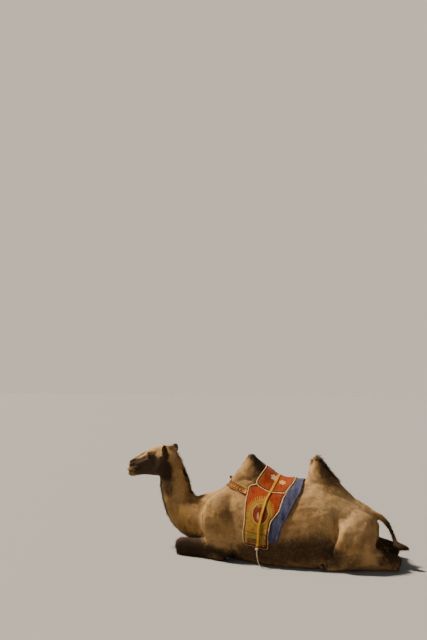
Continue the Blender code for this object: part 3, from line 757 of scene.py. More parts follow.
TAN_LIGHT = (0.56, 0.345, 0.145)
TAN_DEEP = (0.33, 0.185, 0.070)
TAN_SHADE = (0.15, 0.078, 0.030)
BROWN = (0.040, 0.021, 0.011)
PALE = (0.72, 0.50, 0.27)
GOLD = (0.64, 0.36, 0.115)


def coat_colour(tree):
    """The coat's colour: tan, mottled, with its darker, paler and golden patches, where the darker carry
    painted shade and the paler painted light as well.
    """
    tones_and_painted_light = attribute(tree, "tones_and_painted_light")
    parts = node(tree, "ShaderNodeSeparateColor")
    tree.links.new(tones_and_painted_light["Color"], parts.inputs["Color"])
    dark, pale, gold = parts.outputs
    blotches = noise(tree, 7.0, 4.0, 0.6)
    fine = noise(tree, 42.0, 3.0, 0.6)
    broken = calculated(tree, "MULTIPLY_ADD", noise(tree, 55.0, 4.0, 0.7), 0.6, -0.30)
    dark = ranged(tree, calculated(tree, "ADD", dark, broken), 0.10, 0.90)
    colour = mixed(tree, ranged(tree, blotches, 0.36, 0.66), TAN_LIGHT, TAN_DEEP)
    speckled = calculated(tree, "MULTIPLY", ranged(tree, fine, 0.42, 0.72), 0.45)
    colour = mixed(tree, speckled, colour, TAN_DEEP)
    tufted = noise(tree, 17.0, 4.0, 0.65, stretch=(1.0, 1.0, 0.45))
    colour = mixed(tree, gold, colour, mixed(tree, ranged(tree, tufted, 0.48, 0.68), GOLD, TAN_SHADE))
    colour = mixed(tree, pale, colour, PALE)
    colour = mixed(tree, dark, colour, BROWN)
    return colour, tones_and_painted_light["Alpha"]


def skin_material():
    """Close, short hair in the coat's colour, with a fine grain."""
    material, tree, shader = new_material("skin", 0.85, 0.25)
    colour, _ = coat_colour(tree)
    grain = noise(tree, 260.0, 4.0, 0.65, stretch=(1.0, 0.45, 1.0))
    colour = mixed(tree, ranged(tree, grain, 0.35, 0.7), colour, mixed(tree, 0.45, colour, BROWN))
    tree.links.new(colour, shader.inputs["Base Color"])
    bumped(tree, shader, grain, 0.55, 0.0022)
    return material


def coat_material():
    """The coat's colour, darker at each tuft's root and paler at its tip."""
    material, tree, shader = new_material("coat", 0.72, 0.12, 0.05)
    colour, tone = coat_colour(tree)
    shade = ranged(tree, tone, 0.0, 1.0)
    root = mixed(tree, 1.0, colour, (0.72, 0.69, 0.66), "MULTIPLY")
    tip = mixed(tree, 1.0, colour, (1.10, 1.08, 1.04), "MULTIPLY")
    tree.links.new(mixed(tree, shade, root, tip), shader.inputs["Base Color"])
    return material


def eye_material():
    """A level dark pupil in a brown iris, under a wet coat."""
    material, tree, shader = new_material("eye", 0.06, 0.15)
    place = attribute(tree, "in_eye")["Vector"]
    along, up, _ = (Value(tree, part) for part in split(tree, place))
    pupil = ((along * 2.1).squared() + (up * 4.0).squared()).socket
    iris = (along.squared() + up.squared()).socket
    streaks = noise(tree, 9.0, 4.0, 0.7, vector=place, stretch=(1.0, 1.0, 0.2))
    brown = mixed(tree, ranged(tree, streaks, 0.3, 0.7), (0.014, 0.006, 0.003), (0.045, 0.018, 0.008))
    colour = mixed(tree, ranged(tree, pupil, 0.8, 1.2), (0.002, 0.002, 0.002), brown)
    colour = mixed(tree, ranged(tree, iris, 0.50, 0.62), colour, (0.07, 0.045, 0.03))
    tree.links.new(colour, shader.inputs["Base Color"])
    shader.inputs["Coat Weight"].default_value = 1.0
    shader.inputs["Coat Roughness"].default_value = 0.02
    shader.inputs["Coat IOR"].default_value = 1.22
    return material


# ---------------------------------------------------------------- lie of the coat
# Places on the left side and the way the hair lies there.
LIE = (
    ((0.00, -1.46, 0.86), (0.0, 0.8, 0.9)), ((0.05, -1.42, 0.80), (0.2, 1.0, 0.1)),
    ((0.00, -1.34, 0.96), (0.0, 1.0, 0.6)), ((0.00, -1.18, 1.06), (0.0, 1.0, 0.1)),
    ((0.05, -1.25, 0.85), (0.1, 1.0, -0.1)), ((0.08, -1.08, 0.86), (0.1, 0.8, -0.6)),
    ((0.00, -1.20, 0.74), (0.0, 1.0, 0.0)), ((0.00, -1.00, 1.07), (0.0, 0.6, 0.5)),
    ((0.08, -0.98, 0.98), (0.1, 0.5, -0.8)), ((0.00, -0.85, 0.98), (0.0, 0.3, -1.0)),
    ((0.10, -0.92, 0.75), (0.0, 0.25, -1.0)), ((0.00, -1.08, 0.62), (0.0, 0.1, -1.0)),
    ((0.00, -1.00, 0.36), (0.0, 0.3, -1.0)), ((0.12, -0.84, 0.50), (0.0, 0.5, -0.9)),
    ((0.00, -0.68, 0.58), (0.0, 1.0, -0.2)), ((0.16, -0.70, 0.36), (0.1, 0.5, -0.9)),
    ((0.10, -0.62, 0.12), (0.1, 0.5, -0.6)), ((0.28, -0.44, 0.45), (0.1, 0.35, -1.0)),
    ((0.15, -0.40, 0.65), (0.2, 0.9, -0.4)), ((0.33, -0.30, 0.25), (0.0, -0.1, -1.0)),
    ((0.26, -0.55, 0.13), (0.0, -1.0, -0.4)), ((0.20, -0.80, 0.10), (0.0, -0.7, -0.6)),
    ((0.25, -0.40, 0.04), (0.2, 0.8, -0.1)), ((0.00, 0.05, 0.78), (0.0, 1.0, 0.0)),
    ((0.38, 0.00, 0.45), (0.1, 0.7, -0.7)), ((0.42, 0.30, 0.25), (0.0, 0.9, -0.5)),
    ((0.40, 0.50, 0.45), (0.1, 0.8, -0.7)), ((0.38, 0.40, 0.10), (0.0, 1.0, -0.1)),
    ((0.00, 0.46, 0.76), (0.0, 0.5, 0.4)), ((0.20, 0.65, 0.70), (0.5, 0.7, -0.5)),
    ((0.42, 0.72, 0.28), (0.0, 0.5, -0.9)), ((0.00, 0.95, 0.64), (0.0, 1.0, -0.4)),
    ((0.30, 0.95, 0.50), (0.2, 0.6, -0.9)), ((0.44, 0.92, 0.25), (0.0, 0.2, -1.0)),
    ((0.42, 0.80, 0.12), (0.0, 0.2, -1.0)), ((0.20, 1.15, 0.35), (0.1, 0.4, -1.0)),
    ((0.30, 1.12, 0.12), (0.0, 1.0, -0.3)), ((0.22, 1.36, 0.08), (0.0, 0.8, -0.5)),
    ((0.25, 1.10, 0.03), (0.2, -1.0, -0.1)), ((0.36, 0.75, 0.04), (0.2, -1.0, -0.2)),
    ((0.00, -0.20, 0.90), (0.0, 0.2, 0.9)), ((0.06, -0.10, 0.95), (0.1, 0.5, 0.5)),
    ((0.12, -0.10, 0.84), (0.5, 0.5, -0.6)), ((0.02, 0.02, 0.92), (0.0, 0.8, -0.5)),
    ((0.00, 0.55, 0.90), (0.0, -0.4, 0.8)), ((0.10, 0.62, 0.84), (0.4, 0.5, -0.7)),
    ((0.03, 0.68, 0.92), (0.1, 0.9, -0.5)), ((0.00, 0.80, 0.76), (0.0, 1.0, -0.6)),
    ((0.00, 1.24, 0.43), (0.0, 0.7, -0.9)), ((0.03, 1.31, 0.32), (0.2, 0.3, -1.0)),
    ((0.10, 1.38, 0.21), (0.4, 0.9, -0.5)),
    ((0.095, -0.995, 1.01), (0.1, 0.0, 1.0)), ((0.100, -0.990, 1.06), (0.1, 0.1, 1.0)),
)


def lie(points, normals):
    """The way of the hair at each place: the nearby entries of the table, laid on the skin."""
    places = np.array([entry[0] for entry in LIE])
    ways = unit(np.array([entry[1] for entry in LIE]))
    side = np.where(points[:, 0] < 0, -1.0, 1.0)
    folded = flipped(points)
    blend = np.zeros_like(points)
    for place, way in zip(places, ways):
        near = 1.0 / (np.sum((folded - place) ** 2, 1) + 0.0004) ** 2
        blend += near[:, None] * way
    blend[:, 0] *= side
    blend -= normals * np.sum(blend * normals, 1)[:, None]
    return unit(blend)


# ---------------------------------------------------------------- patches of the coat, painted shade and light among them
# Soft patches: a line of places, reach, strength. Both sides have them. Some are the hair's own colour;
# others are painted shade and painted light, each noted where it stands.
DARK_AND_PAINTED_SHADE = (
    (((0.0, -1.084, 0.70), (0.0, -1.075, 0.60), (0.0, -1.032, 0.46), (0.0, -0.975, 0.35), (0.0, -0.905, 0.23),
      (0.0, -0.78, 0.12)), 0.108, 0.97),
    (((0.0, -0.88, 1.03), (0.0, -0.835, 0.96), (0.0, -0.805, 0.88), (0.0, -0.775, 0.74), (0.0, -0.73, 0.60)),
     0.060, 0.92),
    (((0.05, -0.97, 1.07), (0.0, -0.95, 1.08)), 0.045, 0.80),
    (((0.030, -0.060, 1.020), (0.03, -0.02, 0.98)), 0.075, 0.95),
    (((0.05, -0.04, 0.98), (0.08, 0.03, 0.92), (0.09, 0.09, 0.87)), 0.095, 0.62),
    (((0.36, -0.30, 0.50), (0.38, -0.20, 0.44), (0.39, -0.14, 0.40)), 0.13, 0.42),
    (((0.33, -0.42, 0.34), (0.36, -0.30, 0.30)), 0.09, 0.30),
    (((0.42, 0.55, 0.50), (0.44, 0.62, 0.36)), 0.11, 0.22),
    (((0.030, -0.10, 0.99), (0.02, -0.17, 0.91), (0.01, -0.23, 0.83)), 0.030, 0.60),
    (((0.032, 0.605, 1.010), (0.03, 0.66, 0.96)), 0.070, 0.97),
    (((0.03, 0.66, 0.955), (0.03, 0.735, 0.87), (0.02, 0.83, 0.775)), 0.040, 0.90),
    (((0.03, 0.575, 0.97), (0.02, 0.54, 0.91)), 0.030, 0.70),
    # painted shade under the head, over darker hair on the upper neck
    (((0.08, -1.00, 0.86), (0.10, -0.98, 0.74), (0.10, -0.96, 0.62)), 0.130, 0.66),
    # darker hair of the knees and forearms, deepened with painted shade
    (((0.25, -0.60, 0.10), (0.20, -0.80, 0.08), (0.19, -0.86, 0.06)), 0.190, 0.96),
    (((0.33, -0.22, 0.05), (0.30, -0.45, 0.08), (0.25, -0.60, 0.10)), 0.140, 0.80),
    # painted shade under the chest and between the forelegs
    (((0.10, -0.78, 0.08), (0.05, -0.60, 0.04)), 0.120, 0.55),
    (((0.12, -0.80, 0.20), (0.16, -0.70, 0.17), (0.20, -0.58, 0.16)), 0.090, 0.55),
    (((0.01, 1.26, 0.42), (0.03, 1.32, 0.31), (0.06, 1.34, 0.24)), 0.045, 0.80),
    # dark hair of the switch, deepened with painted shade
    (((0.09, 1.34, 0.22), (0.16, 1.47, 0.20)), 0.150, 0.97),
    # darker hair on the hocks and shanks, deepened with painted shade
    (((0.25, 1.24, 0.13), (0.22, 1.36, 0.10), (0.21, 1.42, 0.05)), 0.125, 0.86),
    # painted shade between the thigh and the far buttock
    (((0.02, 1.20, 0.44), (0.12, 1.20, 0.34), (0.14, 1.19, 0.24)), 0.070, 0.34),
    # painted shade in the crease ahead of the thigh
    (((0.41, 0.83, 0.42), (0.42, 0.80, 0.33), (0.43, 0.75, 0.20), (0.42, 0.69, 0.06)), 0.055, 0.85),
    # painted shade where the flank turns under
    (((0.42, -0.05, 0.10), (0.44, 0.20, 0.13), (0.45, 0.45, 0.16), (0.44, 0.72, 0.20)), 0.230, 0.74),
    # painted shade on the thigh's lower part
    (((0.46, 0.84, 0.08), (0.46, 0.98, 0.10)), 0.160, 0.55),
    # painted shade on the rear hump's near, rear side
    (((0.08, 0.69, 0.90), (0.13, 0.78, 0.79)), 0.130, 0.62),
    # painted shade on the front hump's near, rear side
    (((0.10, 0.00, 0.90), (0.14, 0.03, 0.82)), 0.135, 0.55),
    (((0.38, 1.12, 0.10), (0.30, 1.20, 0.12)), 0.050, 0.35),
)
HEAD_DARK_AND_PAINTED_SHADE = (
    # darker hair on the cheeks and side of the face, deepened with painted shade
    (((0.07, 0.04, 0.83), (0.07, 0.20, 0.82), (0.06, 0.36, 0.81)), 0.120, 0.93),
    (((0.10, 0.05, 0.895), (0.10, 0.16, 0.905), (0.08, 0.28, 0.905), (0.06, 0.40, 0.875)), 0.082, 0.92),
    (((0.087, 0.205, 0.962), (0.095, 0.150, 0.945)), 0.050, 0.88),
    (((0.012, 0.32, 0.99), (0.012, 0.38, 0.965), (0.010, 0.49, 0.905)), 0.046, 0.62),
    (((0.045, 0.490, 0.865), (0.053, 0.430, 0.900)), 0.036, 0.92),
    (((0.060, 0.470, 0.835), (0.066, 0.400, 0.840)), 0.050, 0.75),
    (((0.050, 0.480, 0.745), (0.060, 0.400, 0.765)), 0.045, 0.60),
    (((0.0, 0.545, 0.770), (0.04, 0.525, 0.773), (0.064, 0.445, 0.786), (0.068, 0.37, 0.802)), 0.016, 0.92),
    (((0.0, 0.10, 0.75), (0.0, 0.35, 0.73)), 0.085, 0.85),
    (((0.090, 0.012, 0.975), (0.112, 0.008, 1.03), (0.116, 0.004, 1.08)), 0.070, 0.92),
    (((0.09, 0.03, 0.90), (0.10, 0.00, 0.84), (0.09, -0.02, 0.78)), 0.085, 0.75),
)
PALE_AND_PAINTED_LIGHT = (
    (((0.0, -0.905, 1.03), (0.05, -0.90, 1.00)), 0.050, 0.55),
    # painted light on the top of the rump
    (((0.16, 0.96, 0.58), (0.36, 0.95, 0.48)), 0.240, 0.42),
    # painted light on the upper flank under the rear hump
    (((0.20, 0.50, 0.72), (0.32, 0.72, 0.60)), 0.200, 0.28),
    # painted light on the rear hump's front
    (((0.07, 0.56, 0.88), (0.10, 0.58, 0.80)), 0.090, 0.35),
    (((0.10, -0.40, 0.68), (0.24, -0.38, 0.58)), 0.140, 0.25),
    (((0.08, -0.96, 0.78), (0.10, -0.92, 0.62)), 0.070, 0.20),
)
HEAD_PALE_AND_PAINTED_LIGHT = (
    # paler hair on the crown, with painted light on top
    (((0.0, 0.05, 1.08), (0.0, 0.16, 1.07), (0.0, 0.23, 1.04)), 0.075, 0.45),
    # painted light on the muzzle's front and lower lip, over paler hair
    (((0.0, 0.545, 0.800), (0.02, 0.540, 0.845)), 0.032, 0.40),
    (((0.0, 0.525, 0.725), (0.03, 0.510, 0.735)), 0.026, 0.40),
    (((0.07, 0.405, 0.868), (0.068, 0.35, 0.885)), 0.022, 0.32),
)
GOLDEN = (
    (((0.14, -0.78, 0.40), (0.18, -0.70, 0.28), (0.20, -0.60, 0.22)), 0.130, 0.80),
    (((0.10, -0.66, 0.57), (0.20, -0.56, 0.50)), 0.080, 0.55),
    (((0.30, -0.40, 0.50), (0.34, -0.30, 0.35)), 0.120, 0.30),
    (((0.45, 0.95, 0.20), (0.44, 0.88, 0.32)), 0.090, 0.35),
)


def patches(points, tables):
    """All the soft patches at each place together. Each table has its own points."""
    clear = np.ones(len(points[0]))
    for where, table in zip(points, tables):
        for path, reach, strength in table:
            far, _ = from_path(where, path)
            clear *= 1 - strength * smooth_step(reach, 0.25 * reach, far)
    return 1 - clear


def tones_and_painted_light_at(points):
    """Dark, pale and golden shares of the coat's colour, the same for skin and hair. Dark holds painted shade
    and pale holds painted light, as well as the hair's own colour.
    """
    uneven = np.stack([waves(points, (0.09, 0.04), seed) for seed in (11, 12, 13)], 1)
    body, head = flipped(points + 0.012 * uneven), flipped(world_to_head(points + 0.006 * uneven))
    dark = patches((body, head), (DARK_AND_PAINTED_SHADE, HEAD_DARK_AND_PAINTED_SHADE))
    pale = patches((body, head), (PALE_AND_PAINTED_LIGHT, HEAD_PALE_AND_PAINTED_LIGHT))
    gold = patches((body,), (GOLDEN,))
    return np.stack([dark, pale, gold], 1)


def mark(mesh, places, tones):
    """Writes the dark, pale and golden shares at some places, painted shade and light among them, and a tone
    from 0 to 1, as a colour for each point of a mesh.
    """
    colours = np.concatenate([tones_and_painted_light_at(places), tones[:, None]], 1)
    tones_and_painted_light = mesh.color_attributes.new("tones_and_painted_light", "FLOAT_COLOR", "POINT")
    tones_and_painted_light.data.foreach_set("color", colours.astype(np.float32).ravel())


# ---------------------------------------------------------------- coat
# Outlines from the side, in y and z, that the cloths cover: no hair grows under them.
UNDER_CLOTHS = (
    ((0.450, 1.0), (0.462, 0.734), (0.440, 0.663), (0.404, 0.606), (0.367, 0.523), (0.336, 0.460),
     (0.289, 0.391), (0.263, 0.300), (0.247, 0.253), (0.150, 0.247), (0.148, 0.195), (0.0, 0.215),
     (-0.060, 0.222), (-0.065, 0.305), (-0.055, 0.583), (-0.040, 0.710), (0.040, 0.745),
     (0.130, 0.862), (0.165, 1.0)),
    ((-0.345, 0.700), (-0.200, 0.675), (-0.070, 0.640), (-0.070, 0.690), (-0.200, 0.718), (-0.345, 0.742)),
)


def inside(points, outline):
    """Whether each flat point lies inside an outline."""
    y, z = points[:, 0], points[:, 1]
    found = np.zeros(len(points), bool)
    corners = list(outline)
    for (y0, z0), (y1, z1) in zip(corners, corners[1:] + corners[:1]):
        if z0 != z1:
            crosses = (z0 > z) != (z1 > z)
            found ^= crosses & (y < (y1 - y0) * (z - z0) / (z1 - z0) + y0)
    return found


def open_to_air(points):
    """1 where hair grows: not under the cloths, and not on the floor's side."""
    covered = np.zeros(len(points), bool)
    for outline in UNDER_CLOTHS:
        covered |= inside(points[:, 1:], outline)
    return (~covered) * smooth_step(0.004, 0.012, points[:, 2])


class Skin:
    """The skin's triangles and what its corners know."""

    def __init__(self, mesh):
        mesh.calc_loop_triangles()
        count = len(mesh.loop_triangles)
        self.triangles = np.empty(count * 3, np.int32)
        mesh.loop_triangles.foreach_get("vertices", self.triangles)
        self.triangles = self.triangles.reshape(-1, 3)
        loops = np.empty(count * 3, np.int32)
        mesh.loop_triangles.foreach_get("loops", loops)
        flat = np.empty(len(mesh.loops) * 2, np.float32)
        mesh.uv_layers["OFBake"].data.foreach_get("uv", flat)
        self.uv = flat.reshape(-1, 2)[loops].reshape(-1, 3, 2)
        self.corner_uv = np.zeros((len(mesh.vertices), 2))
        self.corner_uv[self.triangles.ravel()] = self.uv.reshape(-1, 2)
        self.places, self.normals = places_of(mesh), normals_of(mesh)
        a, b, c = (self.places[self.triangles[:, k]] for k in range(3))
        self.area = np.linalg.norm(np.cross(b - a, c - a), axis=1) / 2

    def scattered(self, density, seed):
        """Even but irregular places on the skin: positions, normals and places on the unwrap."""
        draw = np.random.default_rng(seed)
        expected = self.area * density[self.triangles].mean(1)
        total = np.cumsum(expected)
        count = int(total[-1])
        spots = (np.arange(count) + draw.random(count)) * total[-1] / count
        chosen = np.minimum(np.searchsorted(total, spots), len(total) - 1)
        u, v = draw.random((2, count, 1))
        u, v = np.where(u + v > 1, 1 - u, u), np.where(u + v > 1, 1 - v, v)
        share = (1 - u - v, u, v)
        corners = self.triangles[chosen]
        place = sum(k * self.places[corners[:, i]] for i, k in enumerate(share))
        normal = unit(sum(k * self.normals[corners[:, i]] for i, k in enumerate(share)))
        uv = sum(k * self.uv[chosen, i] for i, k in enumerate(share))
        return place, normal, uv


PATCH = 0.003  # each tuft's share of the unwrap
SPIKE, LOCK, LONG = (0.0,), (0.0, 0.45), (0.0, 0.25, 0.5, 0.75)  # where the rings of a tuft lie


def tufts(spots, length, width, lift, bend, rings, seed, way=None, sink=0.0015, fall=0.0, curl=0.0):
    """Arrays for many three-sided locks that lie along the coat and taper to a point.

    lift is the rise at the root and bend how far the tip comes back down, both in lengths.
    fall pulls the tip straight down and curl sways it, again in lengths."""
    place, normal, uv = spots
    count = len(place)
    draw = np.random.default_rng(seed)
    length = length * draw.uniform(0.72, 1.25, count)
    width = width * draw.uniform(0.75, 1.25, count)
    along = lie(place, normal) if way is None else way
    across = unit(np.cross(normal, along))
    along = unit(along + across * draw.normal(0, 0.20, count)[:, None])
    across = unit(np.cross(normal, along))
    lift = lift * draw.uniform(0.6, 1.4, count)
    sway = curl * draw.normal(0, 1, count)
    rows = []
    steps = list(rings) + [1.0]
    for t in steps:
        rise = lift * t - bend * t * t
        path = (
            place + along * (length * t)[:, None] + normal * (length * rise - sink)[:, None]
            + across * (length * sway * math.sin(2.6 * t))[:, None]
        )
        path[:, 2] -= fall * length * t * t
        if t == 1.0:
            rows.append(path[:, None])
            continue
        thin = (width * (1 - t) ** 0.75 * (1.0 if t else 0.8))[:, None]
        sides = [path - across * thin / 2, path + across * thin / 2, path + normal * thin * 0.45]
        rows.append(np.stack(sides, 1))
    vertices = np.concatenate(rows, 1)
    vertices[..., 2] = np.maximum(vertices[..., 2], HAIR_FLOOR)
    # On the unwrap each ring is a triangle inside the one before, with the tip in the middle.
    corner = np.array(((-0.5, -0.5), (0.5, -0.5), (0.0, 0.5))) * PATCH
    spread = [corner * (1 - 0.8 * t) for t in rings] + [np.zeros((1, 2))]
    flat = uv[:, None] + np.concatenate(spread)[None]
    paler = np.concatenate([np.full(3, t - 0.4) for t in rings] + [np.ones(1) * 0.4])
    tone = draw.uniform(0.25, 0.75, count)[:, None] + paler[None] * 0.5
    return vertices, tuft_faces(len(rings)), flat, np.clip(tone, 0, 1), place, normal


def tuft_faces(rings):
    """The triangles of one tuft: its base, its sides from ring to ring, and its point."""
    faces = [(0, 2, 1)]
    for a, b, c, d in quads(rings, 3, closed_columns=True):
        faces += [(a, b, c), (a, c, d)]
    top = 3 * (rings - 1)
    faces += [(top, top + 1, top + 3), (top + 1, top + 2, top + 3), (top + 2, top, top + 3)]
    return np.array(faces, np.int32)


HAIR_NORMAL = 0.65  # how far a lock is shaded as the skin under it


def coat_piece(name, batches, material):
    """One mesh from several batches of tufts, each a choice of rows of its arrays."""
    points, faces, flats, tones, roots, normals = [], [], [], [], [], []
    base = 0
    for (vertices, pattern, flat, tone, place, normal), chosen in batches:
        if not chosen.any():
            continue
        vertices, flat, tone = vertices[chosen], flat[chosen], tone[chosen]
        count, per = vertices.shape[:2]
        points.append(vertices.reshape(-1, 3))
        faces.append((base + np.arange(count)[:, None, None] * per + pattern[None]).reshape(-1, 3))
        flats.append(flat.reshape(-1, 2))
        tones.append(tone.reshape(-1))
        roots.append(np.repeat(place[chosen], per, 0))
        normals.append(np.repeat(normal[chosen], per, 0))
        base += count * per
    points, faces, flats = np.concatenate(points), np.concatenate(faces), np.concatenate(flats)
    mesh = mesh_from(name, points, faces)
    layer = mesh.uv_layers.new(name="OFBake")
    layer.data.foreach_set("uv", flats[faces.ravel()].astype(np.float32).ravel())
    mark(mesh, np.concatenate(roots), np.concatenate(tones))
    shaded = unit(normals_of(mesh) * (1 - HAIR_NORMAL) + np.concatenate(normals) * HAIR_NORMAL)
    item = smooth_object(mesh, material)
    mesh.normals_split_custom_set_from_vertices(shaded.tolist())
    return show(item, "coat_tan")


def unwrapped(skin):
    """Gives the skin an unwrap of its own shape, which the coat shares."""
    mesh = skin.data
    mesh.uv_layers.new(name="OFBake")
    bpy.context.view_layer.objects.active = skin
    skin.select_set(True)
    bpy.ops.object.mode_set(mode="EDIT")
    bpy.ops.mesh.select_all(action="SELECT")
    bpy.ops.uv.smart_project(angle_limit=math.radians(75), island_margin=0.002)
    bpy.ops.object.mode_set(mode="OBJECT")


def near(points, path, reach):
    """1 close to a line of places, fading to 0 at its reach. Both sides count."""
    far, _ = from_path(flipped(points), path)
    return smooth_step(reach, 0.4 * reach, far)


# Where the longer hair grows. Both sides have it.
MANE = ((0.0, -0.90, 1.05), (0.0, -0.855, 1.00), (0.0, -0.81, 0.90), (0.0, -0.778, 0.74), (0.0, -0.735, 0.61))
THROAT = (
    (0.0, -1.090, 0.70), (0.0, -1.077, 0.60), (0.0, -1.036, 0.46), (0.0, -0.978, 0.35), (0.0, -0.91, 0.23),
    (0.0, -0.80, 0.13),
)
TOPKNOT = ((0.0, -0.985, 1.07), (0.03, -0.95, 1.06))
FRONT_CREST = ((0.01, -0.17, 0.91), (0.028, -0.067, 1.015), (0.02, 0.0, 0.96), (0.01, 0.06, 0.91))
REAR_CREST = ((0.02, 0.555, 0.93), (0.032, 0.611, 1.005), (0.025, 0.68, 0.93), (0.01, 0.79, 0.81))
SWITCH = ((0.095, 1.348, 0.212), (0.142, 1.39, 0.206), (0.158, 1.43, 0.202))
TAIL = ((0.01, 1.23, 0.46), (0.03, 1.29, 0.38), (0.05, 1.31, 0.29), (0.07, 1.33, 0.23))
KNEES = ((0.28, -0.42, 0.12), (0.225, -0.61, 0.112), (0.198, -0.82, 0.090))
CHEST = ((0.10, -0.86, 0.34), (0.15, -0.72, 0.26), (0.18, -0.60, 0.22))
NECK_FOOT = ((0.10, -0.735, 0.53), (0.15, -0.65, 0.545))
BELLY_LINE = ((0.40, 0.20, 0.03), (0.42, 0.45, 0.02), (0.38, 0.68, 0.02))
EARS = ((0.097, -0.995, 1.00), (0.102, -0.993, 1.04), (0.104, -0.990, 1.08))


def off_lids(points, base_count):
    """1 where face hair grows: off the lids' edges, and off the skin that lies behind the lids."""
    free = np.ones(len(points))
    for side, _ in SIDES:
        a, b, rise = Eye(side).local(points)
        near = (rise > -0.02) & (rise < 0.06)
        reach = np.hypot(a, b)
        behind = smooth_step(0.030, 0.036, reach)
        past = reach - lid_reach(a, b)
        rim = smooth_step(0.0045, 0.0105, past) * smooth_step(0.027, 0.021, past)
        own = np.where(np.arange(len(points)) < base_count, behind, rim)
        free *= np.where(near, own, 1.0)
    return free


def lid_reach(a, b):
    """From the eye's middle to the lids' edge, in each direction."""
    turn = np.arctan2(b / OPENING[1], a / OPENING[0])
    return np.hypot(*opening_at(turn))


AHEAD_OF_EARS = -1.10
LASHES = (
    # from and to, in degrees round the opening, how many, out from its edge, length
    (12, 172, 70, 0.0016, 0.024), (20, 165, 60, 0.0030, 0.027), (200, 340, 44, 0.0014, 0.011),
)


def lashes(known, base_count):
    """Long lashes on both lids, the upper ones in two rows."""
    places, normals, ways, lengths = [], [], [], []
    for side, _ in SIDES:
        eye = Eye(side)
        for first, last, count, far, length in LASHES:
            upper = first < 180
            turns = np.radians(np.linspace(first, last, count))
            a, b = opening_at(turns)
            k = (np.hypot(a, b) + far) / np.hypot(a, b)
            places.append(eye.places(a * k, b * k, eye.surface(a * k, b * k) + 0.003))
            radial = unit(np.outer(a, eye.forward) + np.outer(b, eye.up))
            normals.append(unit(radial * 0.6 + eye.up * (0.8 if upper else -0.8)))
            droop = eye.up * (-0.45 if upper else -0.1)
            fan = eye.forward * np.cos(turns)[:, None] * 0.3
            ways.append(unit(eye.out + radial * 0.25 + droop + fan))
            lengths.append(np.full(count, length))
    places, normals, ways, lengths = (np.concatenate(x) for x in (places, normals, ways, lengths))
    added = np.arange(len(known.places)) >= base_count
    lid_points = np.nonzero(added & (known.places[:, 1] < AHEAD_OF_EARS))[0]
    nearest = np.argmin(((places[:, None] - known.places[None, lid_points]) ** 2).sum(2), 1)
    uv = known.corner_uv[lid_points[nearest]]
    return tufts((places, normals, uv), lengths, 0.0009, 0.30, -0.25, LOCK, 61, way=ways, sink=0.0005)


def grown(skin, base_count, head_folds):
    """The whole coat, batch by batch."""
    known = Skin(skin.data)
    points = known.places
    face = head_share(points)
    air = open_to_air(points)
    lids_off = off_lids(points, base_count)
    local = world_to_head(points)
    muzzle = smooth_step(0.36, 0.44, local[:, 1]) * face
    lips = np.zeros(len(points))
    for path, width, depth in head_folds:
        if depth < -0.008 and path[0][1] > 0.4:
            far, _ = from_path(flipped(local), path)
            lips = np.maximum(lips, smooth_step(0.011, 0.004, far))
    thin = 1.0
    feet = smooth_step(0.075, 0.05, points[:, 2]) * ((points[:, 1] < -0.35) | (points[:, 1] > 0.72))
    batches = []

    def grow(weight, per_square_metre, length, width, lift, bend, rings, seed, **more):
        """A batch of tufts, as dense as its weight at each of the skin's points."""
        spots = known.scattered(weight * per_square_metre * thin, seed)
        batches.append(tufts(spots, length, width, lift, bend, rings, seed + 500, **more))

    body = air * (1 - face) * (1 - 0.75 * feet)
    grow(body, 34000, 0.021, 0.0044, 0.42, 0.20, SPIKE, 21)
    grow(air * feet * (1 - face), 60000, 0.011, 0.0030, 0.40, 0.2, SPIKE, 22)
    grow(air * face * lids_off * (1 - muzzle), 130000, 0.0085, 0.0021, 0.36, 0.18, SPIKE, 23)
    grow(air * muzzle * (1 - lips), 160000, 0.0050, 0.0015, 0.34, 0.18, SPIKE, 24)
    grow(body * near(points, MANE, 0.05), 30000, 0.046, 0.0038, 0.75, 0.42, LONG, 31, curl=0.12)
    grow(air * near(points, THROAT, 0.05), 34000, 0.058, 0.0038, 0.45, 0.30, LONG, 32, curl=0.12, fall=0.15)
    grow(near(points, TOPKNOT, 0.05), 30000, 0.040, 0.0032, 0.95, 0.60, LONG, 33, curl=0.18)
    grow(air * near(points, FRONT_CREST, 0.06), 26000, 0.034, 0.0038, 0.50, 0.32, LOCK, 34, curl=0.14)
    grow(air * near(points, REAR_CREST, 0.05), 36000, 0.052, 0.0038, 0.75, 0.48, LONG, 35, curl=0.14)
    grow(air * near(points, SWITCH, 0.07), 36000, 0.040, 0.0036, 0.24, 0.20, LONG, 36, curl=0.10, fall=0.12)
    grow(air * near(points, TAIL, 0.06), 26000, 0.040, 0.0036, 0.45, 0.25, LONG, 41, curl=0.12, fall=0.15)
    grow(air * near(points, KNEES, 0.11), 16000, 0.034, 0.0042, 0.55, 0.25, LOCK, 37, curl=0.08)
    grow(air * near(points, CHEST, 0.15), 11000, 0.050, 0.0050, 0.45, 0.25, LONG, 38, curl=0.14, fall=0.12)
    grow(air * near(points, NECK_FOOT, 0.09), 11000, 0.046, 0.0050, 0.45, 0.25, LONG, 39, curl=0.14, fall=0.1)
    grow(air * near(points, BELLY_LINE, 0.09), 8000, 0.034, 0.0045, 0.45, 0.2, LOCK, 40, curl=0.1)
    on_ears = near(points, EARS, 0.060) * (np.arange(len(points)) >= base_count)
    grow(on_ears, 90000, 0.013, 0.0022, 0.55, 0.25, SPIKE, 42)
    batches.append(lashes(known, base_count))
    return batches


# The coat's pieces, as ranges along the body; each stays under 200,000 triangles.
LENGTHS = (-9.0, -1.06, -0.93, -0.70, -0.40, -0.08, 0.40, 0.66, 0.92, 1.12, 9.0)


def coat(skin, base_count, head_folds):
    material = coat_material()
    batches = grown(skin, base_count, head_folds)
    for k, (start, end) in enumerate(zip(LENGTHS, LENGTHS[1:])):
        share = [(batch, (batch[4][:, 1] >= start) & (batch[4][:, 1] < end)) for batch in batches]
        coat_piece(f"coat_{k + 1:02d}", share, material)


